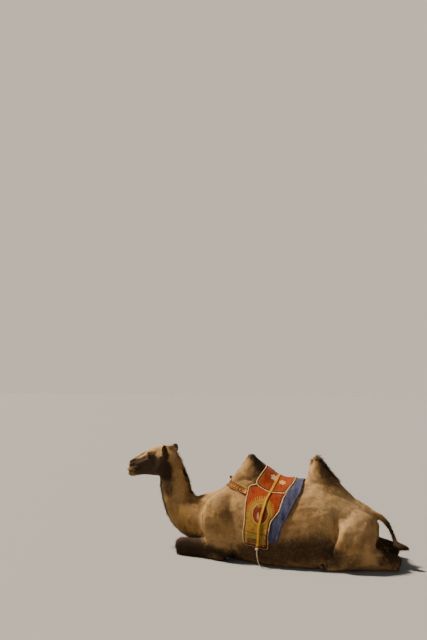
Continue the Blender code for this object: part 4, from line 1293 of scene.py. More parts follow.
# ---------------------------------------------------------------- shape of the cloths
# The cloths' outlines from the side, in y and z, from the top behind round to the top ahead.
OUTLINES = {
    "under_blanket": (
        (0.466, 1.0), (0.477, 0.734), (0.455, 0.663), (0.419, 0.606), (0.382, 0.523), (0.351, 0.460),
        (0.304, 0.391), (0.278, 0.300), (0.262, 0.238), (0.120, 0.232), (-0.030, 0.236),
        (-0.030, 0.690), (0.055, 0.760), (0.140, 0.860), (0.160, 1.0),
    ),
    "carpet": (
        (0.400, 1.0), (0.390, 0.768), (0.341, 0.702), (0.301, 0.632), (0.269, 0.517), (0.193, 0.423),
        (0.166, 0.300), (0.168, 0.176), (0.130, 0.170), (0.061, 0.188), (-0.050, 0.197),
        (-0.078, 0.206), (-0.083, 0.305), (-0.072, 0.413), (-0.075, 0.583), (-0.062, 0.690),
        (-0.052, 0.724), (0.030, 0.742), (0.125, 0.862), (0.145, 1.0),
    ),
    "seat_rug": (
        (0.395, 1.0), (0.386, 0.768), (0.311, 0.674), (0.166, 0.676), (0.092, 0.700), (0.031, 0.731),
        (0.013, 0.762), (0.090, 0.885), (0.100, 1.0),
    ),
    "hump_band": (
        (-0.345, 0.752), (-0.200, 0.728), (-0.0760, 0.700), (-0.0845, 0.628), (-0.200, 0.665),
        (-0.345, 0.690), (-0.345, 0.780),
    ),
}
STRAP_LINE = (
    (0.221, 1.0), (0.221, 0.790), (0.174, 0.687), (0.139, 0.626), (0.103, 0.493), (0.080, 0.380),
    (0.074, 0.239), (0.066, 0.185),
)
STRAP_WIDTH = 0.023
LAYERS = {"under_blanket": 0, "hump_band": 0, "carpet": 1, "seat_rug": 2, "girth_strap": 3}
LAYER_PITCH = 0.0043
CLOTH_THICKNESS = 0.0032
ARC = 0.45  # metres of cloth to a radian round the axis
REACH = 0.075  # how far the drape is evened out
BAND_END = -0.075  # ahead of here the band lies close to the skin
SKIN_GAP = 0.0095  # the least from the skin to the lowest cloth's outer side
FARTHEST_SKIN = 0.62  # past this from the axis the skin is a hump's upper part, where no cloth lies
SOLID_THICKNESS = (0.0015, 0.0065)  # what a cloth's solid may measure through
MIDDLE_TURN = math.acos(0.20 / 0.452)  # where the cloths pass the medallion's middle
SLACK = 0.0016  # how deep the wrinkles are that all the layers share
LINE_STEP = 0.006  # between the places that are read along an outline or the strap
FLANK_TURNS = np.linspace(0.0, math.radians(108), 200) * ARC  # from the back's ridge to under the flank

# The drape's table: where it starts, its steps and its size, along the body and round the axis.
TABLE_START = np.array((-0.46, math.radians(-110) * ARC))
TABLE_STEP = np.array((0.01, math.radians(2) * ARC))
TABLE_SIZE = (104, 111)
AT_ONCE = 4000  # places of the table that are fitted together, to spare memory


def turned(points):
    """Along the body, round the drape's axis in metres of cloth, and out from the axis."""
    x, z = points[:, 0], points[:, 2] - DRAPE_AXIS
    return np.stack([points[:, 1], np.arctan2(x, z) * ARC, np.hypot(x, z)], 1)


def outer_side(name):
    """The corners of the outer faces of a cloth's solid."""
    made = bmesh.new()
    made.from_mesh(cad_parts[name].data)
    bmesh.ops.remove_doubles(made, verts=made.verts, dist=1e-5)
    made.normal_update()
    tree = BVHTree.FromBMesh(made)
    kept = set()
    for face in made.faces:
        middle = face.calc_center_median()
        outward = Vector((middle.x, 0, middle.z - DRAPE_AXIS)).normalized()
        below = tree.ray_cast(middle - face.normal * 1e-4, -face.normal)[3]
        thin = below is not None and SOLID_THICKNESS[0] < below < SOLID_THICKNESS[1]
        if thin and face.normal.dot(outward) > 0.2:
            kept.update(face.verts)
    return np.array(sorted(tuple(corner.co) for corner in kept))


def resampled(loop, step):
    """A closed line again, with even steps."""
    closed = np.vstack([loop, loop[:1]])
    far = run_along(closed)
    count = max(int(far[-1] / step), 8)
    return read_at(np.arange(count) * far[-1] / count, far, closed)


def softened(line, rounds, closed=True):
    """A line with its corners rounded. An open one keeps its ends."""
    for _ in range(rounds):
        rounder = (np.roll(line, 1, 0) + 2 * line + np.roll(line, -1, 0)) / 4
        if not closed:
            rounder[[0, -1]] = line[[0, -1]]
        line = rounder
    return line


class Drape:
    """Where the lowest cloth would lie: an even surface through the solids of all the cloths."""

    def __init__(self, skin_tree):
        known = []
        for name, layer in LAYERS.items():
            points = turned(outer_side(name))
            points[:, 2] -= layer * LAYER_PITCH
            known.append(points)
        self.known = np.concatenate(known)
        flat = TABLE_START + np.indices(TABLE_SIZE).reshape(2, -1).T * TABLE_STEP
        on_skin = self.on_skin(flat, skin_tree)
        at_band = smooth_step(BAND_END + 0.02, BAND_END, flat[:, 0]) * (on_skin > 0)
        table = np.maximum(self.evened(flat), on_skin)
        table = (table + (on_skin - table) * at_band).reshape(TABLE_SIZE)
        for _ in range(2):
            table = softened(softened(table, 1, closed=False).T, 1, closed=False).T
        self.table = table

    def evened(self, flat):
        """Distance from the axis, fitted to the solids near each place."""
        found = np.empty(len(flat))
        for start in range(0, len(flat), AT_ONCE):
            part = flat[start:start + AT_ONCE]
            step = self.known[None, :, :2] - part[:, None, :]
            weight = np.exp(-np.sum(step**2, 2) / (2 * REACH**2)) + 1e-9
            u, v = step[..., 0] / REACH, step[..., 1] / REACH
            base = np.stack([np.ones_like(u), u, v, u * u, u * v, v * v], -1)
            weighted = base * weight[..., None]
            left = np.swapaxes(weighted, 1, 2) @ base + 0.02 * np.eye(6)
            right = np.swapaxes(weighted, 1, 2) @ self.known[:, 2]
            found[start:start + AT_ONCE] = np.linalg.solve(left, right[..., None])[:, 0, 0]
        return found

    def on_skin(self, flat, skin_tree):
        """The least distance from the axis that clears the skin."""
        low = np.zeros(len(flat))
        for k, (y, s) in enumerate(flat):
            way = Vector((math.sin(s / ARC), 0, math.cos(s / ARC)))
            middle = Vector((0, y, DRAPE_AXIS))
            hit = skin_tree.ray_cast(middle + way, -way)[0]
            if hit is not None and (hit - middle).length < FARTHEST_SKIN:
                low[k] = (hit - middle).length + SKIN_GAP
        return low

    def reach(self, flat):
        """Distance from the axis at each place, on a smooth surface through the table."""
        at = np.clip((flat - TABLE_START) / TABLE_STEP, 1.0, np.array(TABLE_SIZE) - 2.001)
        cell = at.astype(int)
        t = at - cell
        found = np.zeros(len(flat))
        for i, a in enumerate(cubic_weights(t[:, 0])):
            for j, b in enumerate(cubic_weights(t[:, 1])):
                found += a * b * self.table[cell[:, 0] + i - 1, cell[:, 1] + j - 1]
        return found

    def places(self, flat, layer, lift=0.0):
        """On the outer side of one layer."""
        radius = self.reach(flat) + layer * LAYER_PITCH + lift + self.wrinkles(flat)
        turn = flat[:, 1] / ARC
        return np.stack([radius * np.sin(turn), flat[:, 0], DRAPE_AXIS + radius * np.cos(turn)], 1)

    def wrinkles(self, flat):
        """Slack that all the layers share."""
        spread = np.stack([flat[:, 0], flat[:, 1], np.zeros(len(flat))], 1)
        return SLACK * waves(spread * (1.6, 0.8, 1), (0.22, 0.12, 0.07), 9)

    def down_to(self, y, z, layer, turns=FLANK_TURNS):
        """How far round the axis a layer has come down to a height. Above its top, the first turn."""
        heights = self.places(np.stack([np.full(len(turns), y), turns], 1), layer)[:, 2]
        return np.interp(-z, -heights, turns)

    def outline(self, side_view, layer):
        """The closed border of a cloth whose outline is given from the side, in y and z."""
        chain = []
        for a, b in zip(side_view, side_view[1:]):
            a, b = np.array(a), np.array(b)
            pieces = max(int(np.linalg.norm(b - a) / LINE_STEP), 1)
            chain += [a + (b - a) * k / pieces for k in range(pieces)]
        half = np.array([(y, self.down_to(y, z, layer)) for y, z in chain])
        half = half[half[:, 1] > 0]
        return np.vstack([half, half[::-1] * (1, -1)])


def cubic_weights(t):
    """The shares of four neighbours in a smooth curve between the middle two."""
    return (
        -0.5 * t + t**2 - 0.5 * t**3, 1 - 2.5 * t**2 + 1.5 * t**3,
        0.5 * t + 2 * t**2 - 1.5 * t**3, -0.5 * t**2 + 0.5 * t**3,
    )


def filled(loop, step):
    """Points and triangles that fill a closed flat line evenly. The line's points come first."""
    low, high = loop.min(0), loop.max(0)
    rows = np.arange(low[1], high[1], step * 0.87)
    inner = np.array([
        (x, y) for k, y in enumerate(rows)
        for x in np.arange(low[0] + (k % 2) * step / 2, high[0], step)
    ])
    inner = inner[inside(inner, loop)]
    inner = inner[to_border(inner, loop) > 0.6 * step]
    points = np.vstack([loop, inner])
    ring = [(k, (k + 1) % len(loop)) for k in range(len(loop))]
    made = delaunay_2d_cdt([Vector(p) for p in points], ring, [], 1, 1e-7)
    return np.array([p[:] for p in made[0]]), np.array([face for face in made[2] if len(face) == 3])


def to_border(points, loop):
    """Distance from flat points to a closed line."""
    return from_path(points, np.vstack([loop, loop[:1]]))[0]


def cloth(drape, name, material, slot, step=0.009, rounds=6, lift=None):
    """A cloth laid on the drape inside its outline, and its border line."""
    loop = drape.outline(OUTLINES[name], LAYERS[name])
    loop = resampled(softened(resampled(loop, step * 0.75), rounds), step * 0.75)
    flat, faces = filled(loop, step)
    border = to_border(flat, loop)
    rise = np.zeros(len(flat)) if lift is None else lift(flat, border)
    places = drape.places(flat, LAYERS[name], rise)
    mesh = mesh_from(name + "_cloth", places, outwards(places, faces))
    give(mesh, "cloth_at", np.stack([flat[:, 0], up_cloth(flat), border], 1))
    item = thickened(smooth_object(mesh, material), CLOTH_THICKNESS)
    return show(item, slot, name), loop


def up_cloth(flat):
    """How far up the cloth each place lies from the medallion's middle."""
    return MIDDLE_TURN * ARC - np.abs(flat[:, 1])


def outwards(places, faces):
    """The faces, wound so that they look away from the drape's axis."""
    a, b, c = (places[faces[:, k]] for k in range(3))
    normal = np.cross(b - a, c - a)
    away = a * (1, 0, 1) - (0, 0, DRAPE_AXIS)
    wrong = np.sum(normal * away, 1) < 0
    faces = faces.copy()
    faces[wrong] = faces[wrong][:, ::-1]
    return faces


def tube(name, line, half_wide, half_tall, material, slot, closed=True, sides=8, up=None):
    """A round or oval tube along a line. up is the way that half_tall lies in."""
    line = np.asarray(line, float)
    if closed:
        along = unit(np.roll(line, -1, 0) - np.roll(line, 1, 0))
    else:
        along = unit(np.gradient(line, axis=0))
    up = line * (1, 0, 1) - (0, 0, DRAPE_AXIS) if up is None else np.broadcast_to(up, line.shape)
    side = unit(np.cross(along, up))
    up = unit(np.cross(side, along))
    turns = np.arange(sides)[:, None] * 2 * math.pi / sides
    oval = side[:, None] * (half_wide * np.cos(turns)) + up[:, None] * (half_tall * np.sin(turns))
    rings = line[:, None] + oval
    count = len(line)
    vertices, faces = rings.reshape(-1, 3), quads(count, sides, closed, True)
    run = np.repeat(run_along(line), sides)
    if not closed:
        first, last = count * sides, count * sides + 1
        vertices = np.vstack([vertices, line[:1], line[-1:]])
        run = np.append(run, (run[0], run[-1]))
        faces += [(first, (i + 1) % sides, i) for i in range(sides)]
        faces += [(last, first - sides + i, first - sides + (i + 1) % sides) for i in range(sides)]
    made = bmesh.new()
    corners = [made.verts.new(place) for place in vertices]
    for face in faces:
        made.faces.new([corners[k] for k in face])
    bmesh.ops.recalc_face_normals(made, faces=made.faces)
    mesh = mesh_of(made, name)
    give(mesh, "run", run)
    return show(smooth_object(mesh, material), slot)


STRAP_STEPS = 9  # points across the webbing


def strap(drape):
    """The girth strap: a flat band of webbing over the cloths, from knot to knot."""
    line = strap_course(drape.outline(STRAP_LINE, LAYERS["girth_strap"]))
    way = unit(np.gradient(line, axis=0))
    side = np.stack([-way[:, 1], way[:, 0]], 1)
    share = np.linspace(-0.5, 0.5, STRAP_STEPS)
    flat = (line[:, None] + side[:, None] * (share * STRAP_WIDTH)[None, :, None]).reshape(-1, 2)
    across = np.tile(share, len(line))
    places = drape.places(flat, LAYERS["girth_strap"], 0.0006 * (1 - (2 * across) ** 2))
    faces = np.array(quads(len(line), STRAP_STEPS))
    mesh = mesh_from("girth_webbing", places, outwards(places, faces))
    far = np.repeat(run_along(line), STRAP_STEPS)
    give(mesh, "cloth_at", np.stack([across * STRAP_WIDTH, far, (0.5 - np.abs(across)) * STRAP_WIDTH], 1))
    item = thickened(smooth_object(mesh, strap_material()), CLOTH_THICKNESS)
    show(item, "strap_yellow", "girth_strap")


def strap_course(half):
    """The strap's middle line from its left end over the back to its right one, evenly."""
    count = len(half) // 2
    whole = softened(np.vstack([half[:count][::-1], half[count:][::-1]]), rounds=12, closed=False)
    far = run_along(whole)
    return read_at(np.linspace(0, far[-1], int(far[-1] / LINE_STEP)), far, whole)


def piping(drape, name, loop, layer, material, half_wide, half_tall):
    """The bound edge of a cloth, along its border."""
    return tube(name, drape.places(loop, layer, -0.0012), half_wide, half_tall, material, "band_tan")


# ---------------------------------------------------------------- cloth materials
class Value:
    """A shader number that can be added, multiplied and compared."""

    def __init__(self, tree, socket):
        self.tree, self.socket = tree, socket

    def op(self, kind, *others):
        others = [other.socket if isinstance(other, Value) else other for other in others]
        return Value(self.tree, calculated(self.tree, kind, self.socket, *others))

    def __add__(self, other):
        return self.op("ADD", other)

    def __sub__(self, other):
        return self.op("SUBTRACT", other)

    def __mul__(self, other):
        return self.op("MULTIPLY", other)

    def size(self):
        return self.op("ABSOLUTE")

    def squared(self):
        return self.op("POWER", 2.0)

    def above(self, edge, soft=0.0012):
        """1 above the edge and 0 below it."""
        return Value(self.tree, ranged(self.tree, self.socket, edge - soft, edge + soft))

    def below(self, edge, soft=0.0012):
        """1 below the edge and 0 above it."""
        return Value(self.tree, ranged(self.tree, self.socket, edge - soft, edge + soft, 1.0, 0.0))

    def between(self, low, high, soft=0.0012):
        return self.above(low, soft) * self.below(high, soft)


def cloth_values(tree, wobble=0.004):
    """Along the body and up the cloth, as hand work wanders, in from the edge, and both again true."""
    along, up, border = (Value(tree, part) for part in split(tree, attribute(tree, "cloth_at")["Vector"]))
    uneven = Value(tree, noise(tree, 30.0, 3.0, 0.6)) - 0.5
    return along + uneven * wobble, up + uneven * wobble, border, along, up


def patchy(tree, scale, edge, soft, detail=3.0, roughness=0.6):
    """1 in the patches of a noise that rise above an edge, and 0 between them."""
    return Value(tree, noise(tree, scale, detail, roughness)).above(edge, soft)


def cloth_material(name, roughness):
    return new_material(name, roughness, 0.12, 0.06)


def painted(tree, base, *coats):
    """A colour with others laid over it, each by its own mask."""
    for mask, colour in coats:
        base = mixed(tree, mask.socket, base, colour)
    return base


THREADS = 2 * math.pi / 0.0026  # two threads to 2.6 mm


def woven(tree, shader, colour, along, up, border, worn=0.5, strength=0.5, threads=THREADS):
    """Adds thread, soil and wear to a cloth's colour, and its bump."""
    warp = (along * threads).op("SINE")
    weft = (up * threads).op("SINE")
    thread = warp * weft
    soil = Value(tree, noise(tree, 9.0, 4.0, 0.65))
    fuzz = Value(tree, noise(tree, 210.0, 3.0, 0.7))
    dark = mixed(tree, 1.0, colour, (0.55, 0.50, 0.46), "MULTIPLY")
    colour = mixed(tree, (soil.above(0.55, 0.12) * worn).socket, colour, dark)
    colour = mixed(tree, (fuzz.above(0.55, 0.1) * 0.35).socket, colour, dark)
    colour = mixed(tree, (border.below(0.010, 0.008) * 0.35).socket, colour, dark)
    tree.links.new(colour, shader.inputs["Base Color"])
    bumped(tree, shader, (thread * 0.5 + fuzz).socket, strength, 0.0012)


RED, DEEP_RED, MAROON = (0.31, 0.041, 0.003), (0.19, 0.021, 0.005), (0.075, 0.013, 0.006)
YELLOW, OLIVE, CREAM = (0.38, 0.215, 0.025), (0.20, 0.125, 0.018), (0.80, 0.60, 0.36)
PINK, DARK_LINE, LEAF = (0.52, 0.24, 0.15), (0.045, 0.018, 0.010), (0.22, 0.19, 0.05)
BLUE, BLUE_DEEP = (0.062, 0.068, 0.140), (0.032, 0.035, 0.072)
GARNET = (0.190, 0.036, 0.010)
SUN_AT, SUN_WIDE, SUN_TALL, SUN_RAYS = 0.085, 0.078, 0.100, 46


def carpet_material():
    """An orange-red field over a golden one, with a rayed sun round a dark red oval."""
    material, tree, shader = cloth_material("carpet", 0.9)
    along, up, border, true_along, true_up = cloth_values(tree)
    across = along - SUN_AT
    far = ((across * (1 / SUN_WIDE)).squared() + (up * (1 / SUN_TALL)).squared()).op("SQRT")
    turn = up.op("ARCTAN2", across)
    ragged = Value(tree, noise(tree, 70.0, 2.0, 0.6)) - 0.5  # frays the edges between the colours
    ray = (turn * SUN_RAYS).op("SINE")
    field = up + across * 0.10 + ragged * 0.05
    petals = (turn * 8).op("SINE") * 0.14
    specks = Value(tree, noise(tree, 120.0, 2.0, 0.6))
    bud = ((across + 0.020) * (1 / 0.011)).squared() + ((up + 0.024) * (1 / 0.040)).squared()
    crown = (up - 0.078).size().below(0.012, 0.003) * across.size().below(0.034, 0.004)
    crown = crown * specks.above(0.46, 0.03)
    lower = field.below(0.000, 0.010)
    foot = up.below(-0.209)
    panel = up.between(-0.296, -0.216) * across.between(-0.125, 0.010)
    colour = painted(
        tree, RED,
        (patchy(tree, 22.0, 0.54, 0.06) * 0.6, DEEP_RED),
        (lower, YELLOW),
        (lower * patchy(tree, 16.0, 0.50, 0.06) * 0.8, OLIVE),
        (lower * specks.above(0.60, 0.03) * 0.6, DEEP_RED),
        ((far + ragged * 0.5).below(1.86, 0.04) * ray.above(0.15, 0.5) * up.above(-0.04, 0.03), YELLOW),
        ((far + ragged * 0.2).below(1.52, 0.05), YELLOW),
        ((far + ragged * 0.3).between(1.30, 1.36, 0.03) * 0.8, OLIVE),
        (far.between(1.02, 1.34, 0.03) * specks.above(0.56, 0.03) * 0.7, OLIVE),
        (far.between(1.00, 1.045, 0.015), (0.62, 0.42, 0.15)),
        (far.below(1.00, 0.02), GARNET),
        (far.below(1.00, 0.02) * specks.above(0.54, 0.04) * 0.8, MAROON),
        ((far + petals).between(0.64, 0.72, 0.02) * 0.7, RED),
        (bud.below(1.0, 0.15), PINK),
        (crown, YELLOW),
        (foot * patchy(tree, 40.0, 0.50, 0.05), OLIVE),
        (panel * specks.above(0.50, 0.05) * 0.8, LEAF),
        (panel * up.below(-0.250, 0.006) * specks.above(0.44, 0.06) * 0.9, MAROON),
        ((up + across * 0.12).between(-0.207, -0.200), DARK_LINE),
        (foot * across.between(0.034, 0.040) * 0.8, PINK),
        (foot * across.between(0.056, 0.061) * 0.8, DEEP_RED),
        (up.below(-0.300), MAROON),
        (up.between(-0.318, -0.306) * (along * 210).op("SINE").above(0.1, 0.3) * 0.7, PINK),
        (border.between(0.0145, 0.020), DEEP_RED),
        (border.below(0.0145), DARK_LINE),
    )
    woven(tree, shader, colour, true_along, true_up, border)
    return material


FLOWERS = ((0.186, 0.396, CREAM), (0.272, 0.362, (0.72, 0.44, 0.10)))  # along, up the cloth, colour
FLOWER_SIZE = 0.031


def rug_material():
    """An orange-red field with pale flowers and a golden inner border."""
    material, tree, shader = cloth_material("seat_rug", 0.92)
    along, up, border, true_along, true_up = cloth_values(tree)
    coats = [
        (patchy(tree, 24.0, 0.56, 0.05) * 0.5, DEEP_RED),
        (border.below(0.016), MAROON),
        (border.between(0.016, 0.023) * ((along - up) * 480).op("SINE").above(0.1, 0.3), LEAF),
        (border.between(0.023, 0.025), MAROON),
    ]
    for at, height, petal in FLOWERS:
        across, rise = along - at, up - height
        turn = rise.op("ARCTAN2", across)
        far = (across.squared() + rise.squared()).op("SQRT") * (1 / FLOWER_SIZE)
        edge = far + (turn * 6).op("SINE") * 0.16
        coats += [
            (edge.below(1.10, 0.06) * 0.7, MAROON), (edge.below(1.0, 0.08), petal),
            (edge.between(0.34, 0.56, 0.08) * 0.8, RED), (far.below(0.30, 0.08), petal),
        ]
    woven(tree, shader, painted(tree, RED, *coats), true_along, true_up, border)
    return material


def blanket_material():
    """Faded blue felt with a stitched hem."""
    material, tree, shader = cloth_material("under_blanket", 0.95)
    _, up, border, true_along, true_up = cloth_values(tree)
    colour = painted(
        tree, BLUE,
        (patchy(tree, 18.0, 0.52, 0.10, 4.0, 0.65) * 0.7, BLUE_DEEP),
        (border.between(0.010, 0.014) * 0.8, (0.12, 0.10, 0.28)),
        (border.between(0.0115, 0.0125) * (up * 900).op("SINE").above(0.0, 0.3), (0.30, 0.30, 0.42)),
    )
    woven(tree, shader, colour, true_along, true_up, border, worn=0.35, strength=0.6, threads=THREADS * 0.7)
    return material


def strap_material():
    """Golden webbing with a ridged middle."""
    material, tree, shader = cloth_material("girth_strap", 0.85)
    _, _, border, true_along, true_up = cloth_values(tree, 0.001)
    colour = painted(
        tree, (0.78, 0.40, 0.025),
        (patchy(tree, 40.0, 0.55, 0.06) * 0.5, (0.50, 0.22, 0.02)),
        (border.between(0.0035, 0.0050, 0.0006), (0.32, 0.13, 0.02)),
    )
    woven(tree, shader, colour, true_along, true_up, border, worn=0.4, threads=THREADS * 1.3)
    return material


def band_material():
    """A tan band with a golden upper line and a dark pink lower one."""
    material, tree, shader = cloth_material("hump_band", 0.9)
    _, _, border, true_along, true_up = cloth_values(tree, 0.002)
    rise = Value(tree, attribute(tree, "in_band")["Fac"])
    colour = painted(
        tree, (0.66, 0.28, 0.045),
        (patchy(tree, 35.0, 0.55, 0.06) * 0.5, (0.44, 0.17, 0.03)),
        (rise.above(0.70, 0.04), YELLOW),
        (rise.between(0.64, 0.70, 0.02), DARK_LINE),
        (rise.below(-0.74, 0.04), MAROON),
        (rise.between(-0.74, -0.62, 0.02), (0.60, 0.20, 0.06)),
        (rise.between(-0.62, -0.57, 0.02), DARK_LINE),
    )
    woven(tree, shader, colour, true_along, true_up, border, worn=0.4)
    return material


def cord_material(name, colour, dark):
    """Twisted yarn, its strands winding along the cord."""
    material, tree, shader = new_material(name, 0.9, 0.2)
    height = Value(tree, split(tree, node(tree, "ShaderNodeTexCoord").outputs["Object"])[2])
    run = Value(tree, attribute(tree, "run")["Fac"])
    strand = (run * 420.0 + height * 500.0).op("SINE")
    paint = painted(
        tree, colour, (strand.below(-0.35, 0.4) * 0.7, dark), (patchy(tree, 26.0, 0.54, 0.08) * 0.6, dark),
    )
    tree.links.new(paint, shader.inputs["Base Color"])
    bumped(tree, shader, (strand + Value(tree, noise(tree, 400.0))).socket, 0.6, 0.0014)
    return material


# ---------------------------------------------------------------- small pieces
def loose_end(material):
    """The girth's end: one cord from the knot to the floor, and the strands it frays into."""
    data = bpy.data.curves.new("girth_cord", "CURVE")
    data.dimensions = "3D"
    data.bevel_depth, data.bevel_resolution = GIRTH_END_RADIUS, 3
    data.use_fill_caps = True
    line = flowing(GIRTH_END, 4)
    spline = data.splines.new("POLY")
    spline.points.add(len(line) - 1)
    spline.points.foreach_set("co", np.hstack([line, np.ones((len(line), 1))]).ravel())
    spline.use_smooth = True
    data.materials.append(material)
    item = show(new_object("girth_cord", data), "cord_pale", "girth_end")
    strands = frayed(material)


def frayed(material):
    """A few strands that spread on the floor from the cord's end."""
    draw = np.random.default_rng(17)
    made = []
    end = np.array(GIRTH_END[-1])
    for k in range(7):
        turn = math.radians(60 + 9 * (k - 3)) + draw.normal(0, 0.05)
        way = np.array((math.cos(turn), math.sin(turn), 0.0)) * draw.uniform(0.016, 0.028)
        rows = [end + way * t + (0, 0, -0.0034 * t + draw.normal(0, 0.0005)) for t in (-0.2, 0.3, 0.7, 1.0)]
        strand = tube(
            "strand", flowing(rows, 3), STRAND_RADIUS, STRAND_RADIUS, material, "cord_pale",
            closed=False, sides=5, up=(0, 0, 1),
        )
        made.append(strand)
    return joined(made, "girth_strands")


def joined(items, name):
    """Several pieces as one."""
    first = items[0]
    chosen = {"active_object": first, "selected_editable_objects": items, "selected_objects": items}
    with bpy.context.temp_override(**chosen):
        bpy.ops.object.join()
    first.name = first.data.name = name
    return first


KNOT_STEPS = 96


def knot(name, node_name, slot, material, thick):
    """A cord tied into a tight trefoil that fills the box of its solid."""
    middle, half = middle_and_half(node_name)
    turns = np.arange(KNOT_STEPS) * 2 * math.pi / KNOT_STEPS
    x = np.sin(turns) + 2 * np.sin(2 * turns)
    y = np.cos(turns) - 2 * np.cos(2 * turns)
    shape = np.stack([-np.sin(3 * turns), x / 3, y / 3], 1)
    line = middle + shape * (half - thick * 0.8)
    item = tube(name, line, thick, thick, material, slot, sides=10, up=(0.3, 0.2, 1.0))
    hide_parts(node_name)
    return item


def nail(name, material):
    """A worn, ridged toenail in the space of its solid."""
    middle, half = middle_and_half(name)
    made = bmesh.new()
    bmesh.ops.create_uvsphere(made, u_segments=28, v_segments=18, radius=1.0)
    mesh = mesh_of(made, name + "_horn")
    points = places_of(mesh)
    ridge = 0.02 * np.sin(points[:, 1] * 22) * smooth_step(-0.6, 0.2, points[:, 2])
    points *= (1 - 0.10 * smooth_step(0.0, 1.0, -points[:, 1]) + ridge)[:, None]
    points = middle + points * half
    points[:, 2] = np.maximum(points[:, 2], (middle - half)[2])
    move_to(mesh, points)
    show(smooth_object(mesh, material), "horn", name)


def horn_material():
    """Dark horn with fine streaks along each nail."""
    material, tree, shader = new_material("horn", 0.60, 0.25)
    streaks = noise(tree, 90.0, 4.0, 0.65, stretch=(1.0, 0.25, 1.0))
    colour = mixed(tree, ranged(tree, streaks, 0.35, 0.68), (0.020, 0.015, 0.011), (0.062, 0.046, 0.034))
    tree.links.new(colour, shader.inputs["Base Color"])
    bumped(tree, shader, streaks, 0.5, 0.0012)
    return material


# ---------------------------------------------------------------- band of the front hump
BAND_MIDDLE = ((-0.085, 0.664), (-0.140, 0.678), (-0.200, 0.697), (-0.270, 0.710), (-0.330, 0.720))
BAND_HALF = 0.033
BAND_TURNS = np.linspace(0.02, 1.4, 60) * ARC  # where the band may lie, round the axis
# One turn of the fret: along by its pitch, up by its height.
KEY = ((1.0, 0.0), (0.0, 0.0), (0.0, 1.0), (0.78, 1.0), (0.78, 0.28), (0.38, 0.28), (0.38, 0.64))
KEY_PITCH, KEY_TALL, KEY_LINE, KEY_RAISED = 0.040, 0.032, 0.0066, 0.0010


def band_path(drape):
    """The band's middle line from the left end round to the right one."""
    layer = LAYERS["hump_band"]
    left = [(y, drape.down_to(y, z, layer, BAND_TURNS)) for y, z in BAND_MIDDLE]
    last_y, last_turn = left[-1]
    half = np.array(left + [(last_y - 0.004, last_turn * 0.5), (last_y - 0.004, 0.0)])
    return flowing(np.vstack([half, half[-2::-1] * (1, -1)]), 6)


def in_band(mesh, middle):
    """Writes how far each point lies above the band's middle line, -1 to 1 at its edges."""
    flat = turned(places_of(mesh))[:, :2]
    far, along = from_path(flat, middle)
    step = flat - read_at(along * (len(middle) - 1), np.arange(len(middle)), middle)
    above = np.where(step[:, 0] * 0.6 - np.sign(flat[:, 1] + 1e-9) * step[:, 1] * 0.8 > 0, 1, -1)
    give(mesh, "in_band", above * far / BAND_HALF)


def key_fret(drape, middle, material):
    """A raised braid in the shape of a key pattern, along the band."""
    far = run_along(middle)
    count = int((far[-1] - 0.02) / KEY_PITCH)
    start = (far[-1] - count * KEY_PITCH) / 2
    plane, faces = [], []
    for k in range(count):
        corners = np.array([(start + (k + a) * KEY_PITCH, (b - 0.5) * KEY_TALL) for a, b in KEY])
        left, right = mitred(corners, KEY_LINE / 2)
        faces.append(np.array(quads(len(left), 2)) + 2 * len(left) * k)
        plane.append(np.stack([left, right], 1).reshape(-1, 2))
    plane = np.concatenate(plane)
    way = unit(read_at(plane[:, 0], far, unit(np.gradient(middle, axis=0))))
    flat = read_at(plane[:, 0], far, middle) + np.stack([way[:, 1], -way[:, 0]], 1) * plane[:, 1:2]
    places = drape.places(flat, LAYERS["hump_band"], KEY_RAISED)
    mesh = mesh_from("hump_band_key", places, outwards(places, np.concatenate(faces)))
    give(mesh, "run", plane.sum(1))
    mesh.materials.append(material)
    show(thickened(new_object("hump_band_key", mesh), 2 * KEY_RAISED), "band_tan")


def mitred(corners, half):
    """The two sides of a line of a given half width, with square corners, in short steps."""
    ways = unit(np.diff(corners, axis=0))
    sides = np.stack([-ways[:, 1], ways[:, 0]], 1)
    shift = np.vstack([sides[:1] - ways[:1], sides[:-1] + sides[1:], sides[-1:] + ways[-1:]])
    other = np.vstack([-sides[:1] - ways[:1], -sides[:-1] - sides[1:], -sides[-1:] + ways[-1:]])
    left, right = corners + shift * half, corners + other * half
    return stepped(left), stepped(right)


def stepped(line, parts=4):
    """A line with each of its straight pieces cut into parts."""
    cuts = np.arange(parts)[None, :, None] / parts
    inner = line[:-1, None] + (line[1:] - line[:-1])[:, None] * cuts
    return np.vstack([inner.reshape(-1, 2), line[-1:]])


def carpet_edge_lift(flat, border):
    """The carpet's lower edge stands a little off the flank."""
    low = smooth_step(-0.10, -0.24, up_cloth(flat))
    return smooth_step(0.05, 0.0, border) * low * 0.004


def blanket_folds(flat, _):
    """Upright folds in the part of the blanket that shows behind the carpet."""
    shown = smooth_step(0.0, 0.05, flat[:, 0] - 0.20)
    fold = np.sin(flat[:, 0] * 95 + np.sin(flat[:, 1] * 9) * 1.2)
    return shown * (0.0022 + 0.0022 * fold) * smooth_step(0.0, 0.25, np.abs(flat[:, 1]))


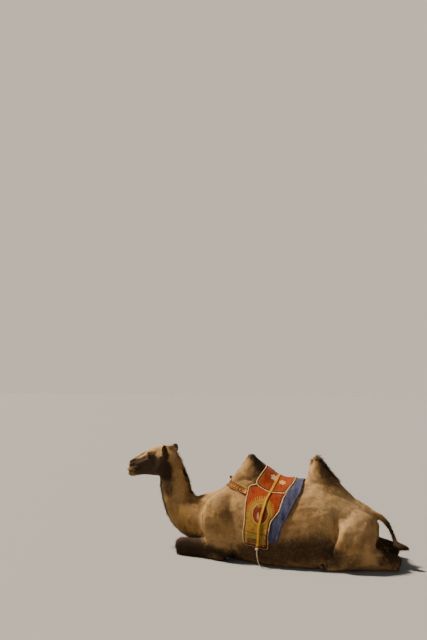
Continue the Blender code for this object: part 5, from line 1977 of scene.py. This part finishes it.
def saddlery(skin_tree, pale):
    """All the cloths, bindings, strap and knots."""
    drape = Drape(skin_tree)
    bound = cord_material("binding", (0.84, 0.57, 0.27), (0.52, 0.29, 0.10))
    wool = cord_material("red_wool", (0.20, 0.014, 0.012), (0.07, 0.006, 0.006))
    blanket, _ = cloth(drape, "under_blanket", blanket_material(), "blanket_blue", lift=blanket_folds)
    carpet, carpet_line = cloth(drape, "carpet", carpet_material(), "carpet_red", lift=carpet_edge_lift)
    rug, rug_line = cloth(drape, "seat_rug", rug_material(), "rug_red")
    strap(drape)
    band, _ = cloth(drape, "hump_band", band_material(), "band_tan", step=0.006, rounds=4)
    middle = band_path(drape)
    in_band(band.data, middle)
    key_fret(drape, middle, cord_material("key", (0.040, 0.016, 0.010), (0.018, 0.008, 0.006)))
    carpet_edge = piping(drape, "carpet_binding", carpet_line, LAYERS["carpet"], bound, 0.0055, 0.0032)
    rug_edge = piping(drape, "rug_binding", rug_line, LAYERS["seat_rug"], bound, 0.0048, 0.0030)
    for side, _ in SIDES:
        knot(f"girth_knot_{side}_tie", f"girth_knot_{side}", "cord_pale", pale, 0.0048)
    knot("hump_band_tie", "hump_band_knot", "knot_red", wool, 0.0050)


def camel(pale):
    """The skin with its eyes, lids and ears, the saddlery over it, the nails and the coat."""
    skin = run_together()
    refined(skin, on_head)
    refined(skin, on_face)
    head_folds = shaped(skin)
    base_count = len(skin.data.vertices)
    with_small_parts(skin)
    skin.name = "skin"
    for side, _ in SIDES:
        eyeball(side)
    unwrapped(skin)
    mark(skin.data, places_of(skin.data), np.full(len(skin.data.vertices), 0.5))
    skin.data.materials.clear()
    skin.data.materials.append(skin_material())
    show(skin, "coat_tan", *FLESH, "ear_left", "ear_right")
    saddlery(tree_of(skin.data), pale)
    horn = horn_material()
    for name in NAILS:
        nail(name, horn)
    coat(skin, base_count, head_folds)


camera()
pale_cord = cord_material("pale_cord", (0.66, 0.55, 0.40), (0.36, 0.27, 0.17))
loose_end(pale_cord)
studio()
camel(pale_cord)
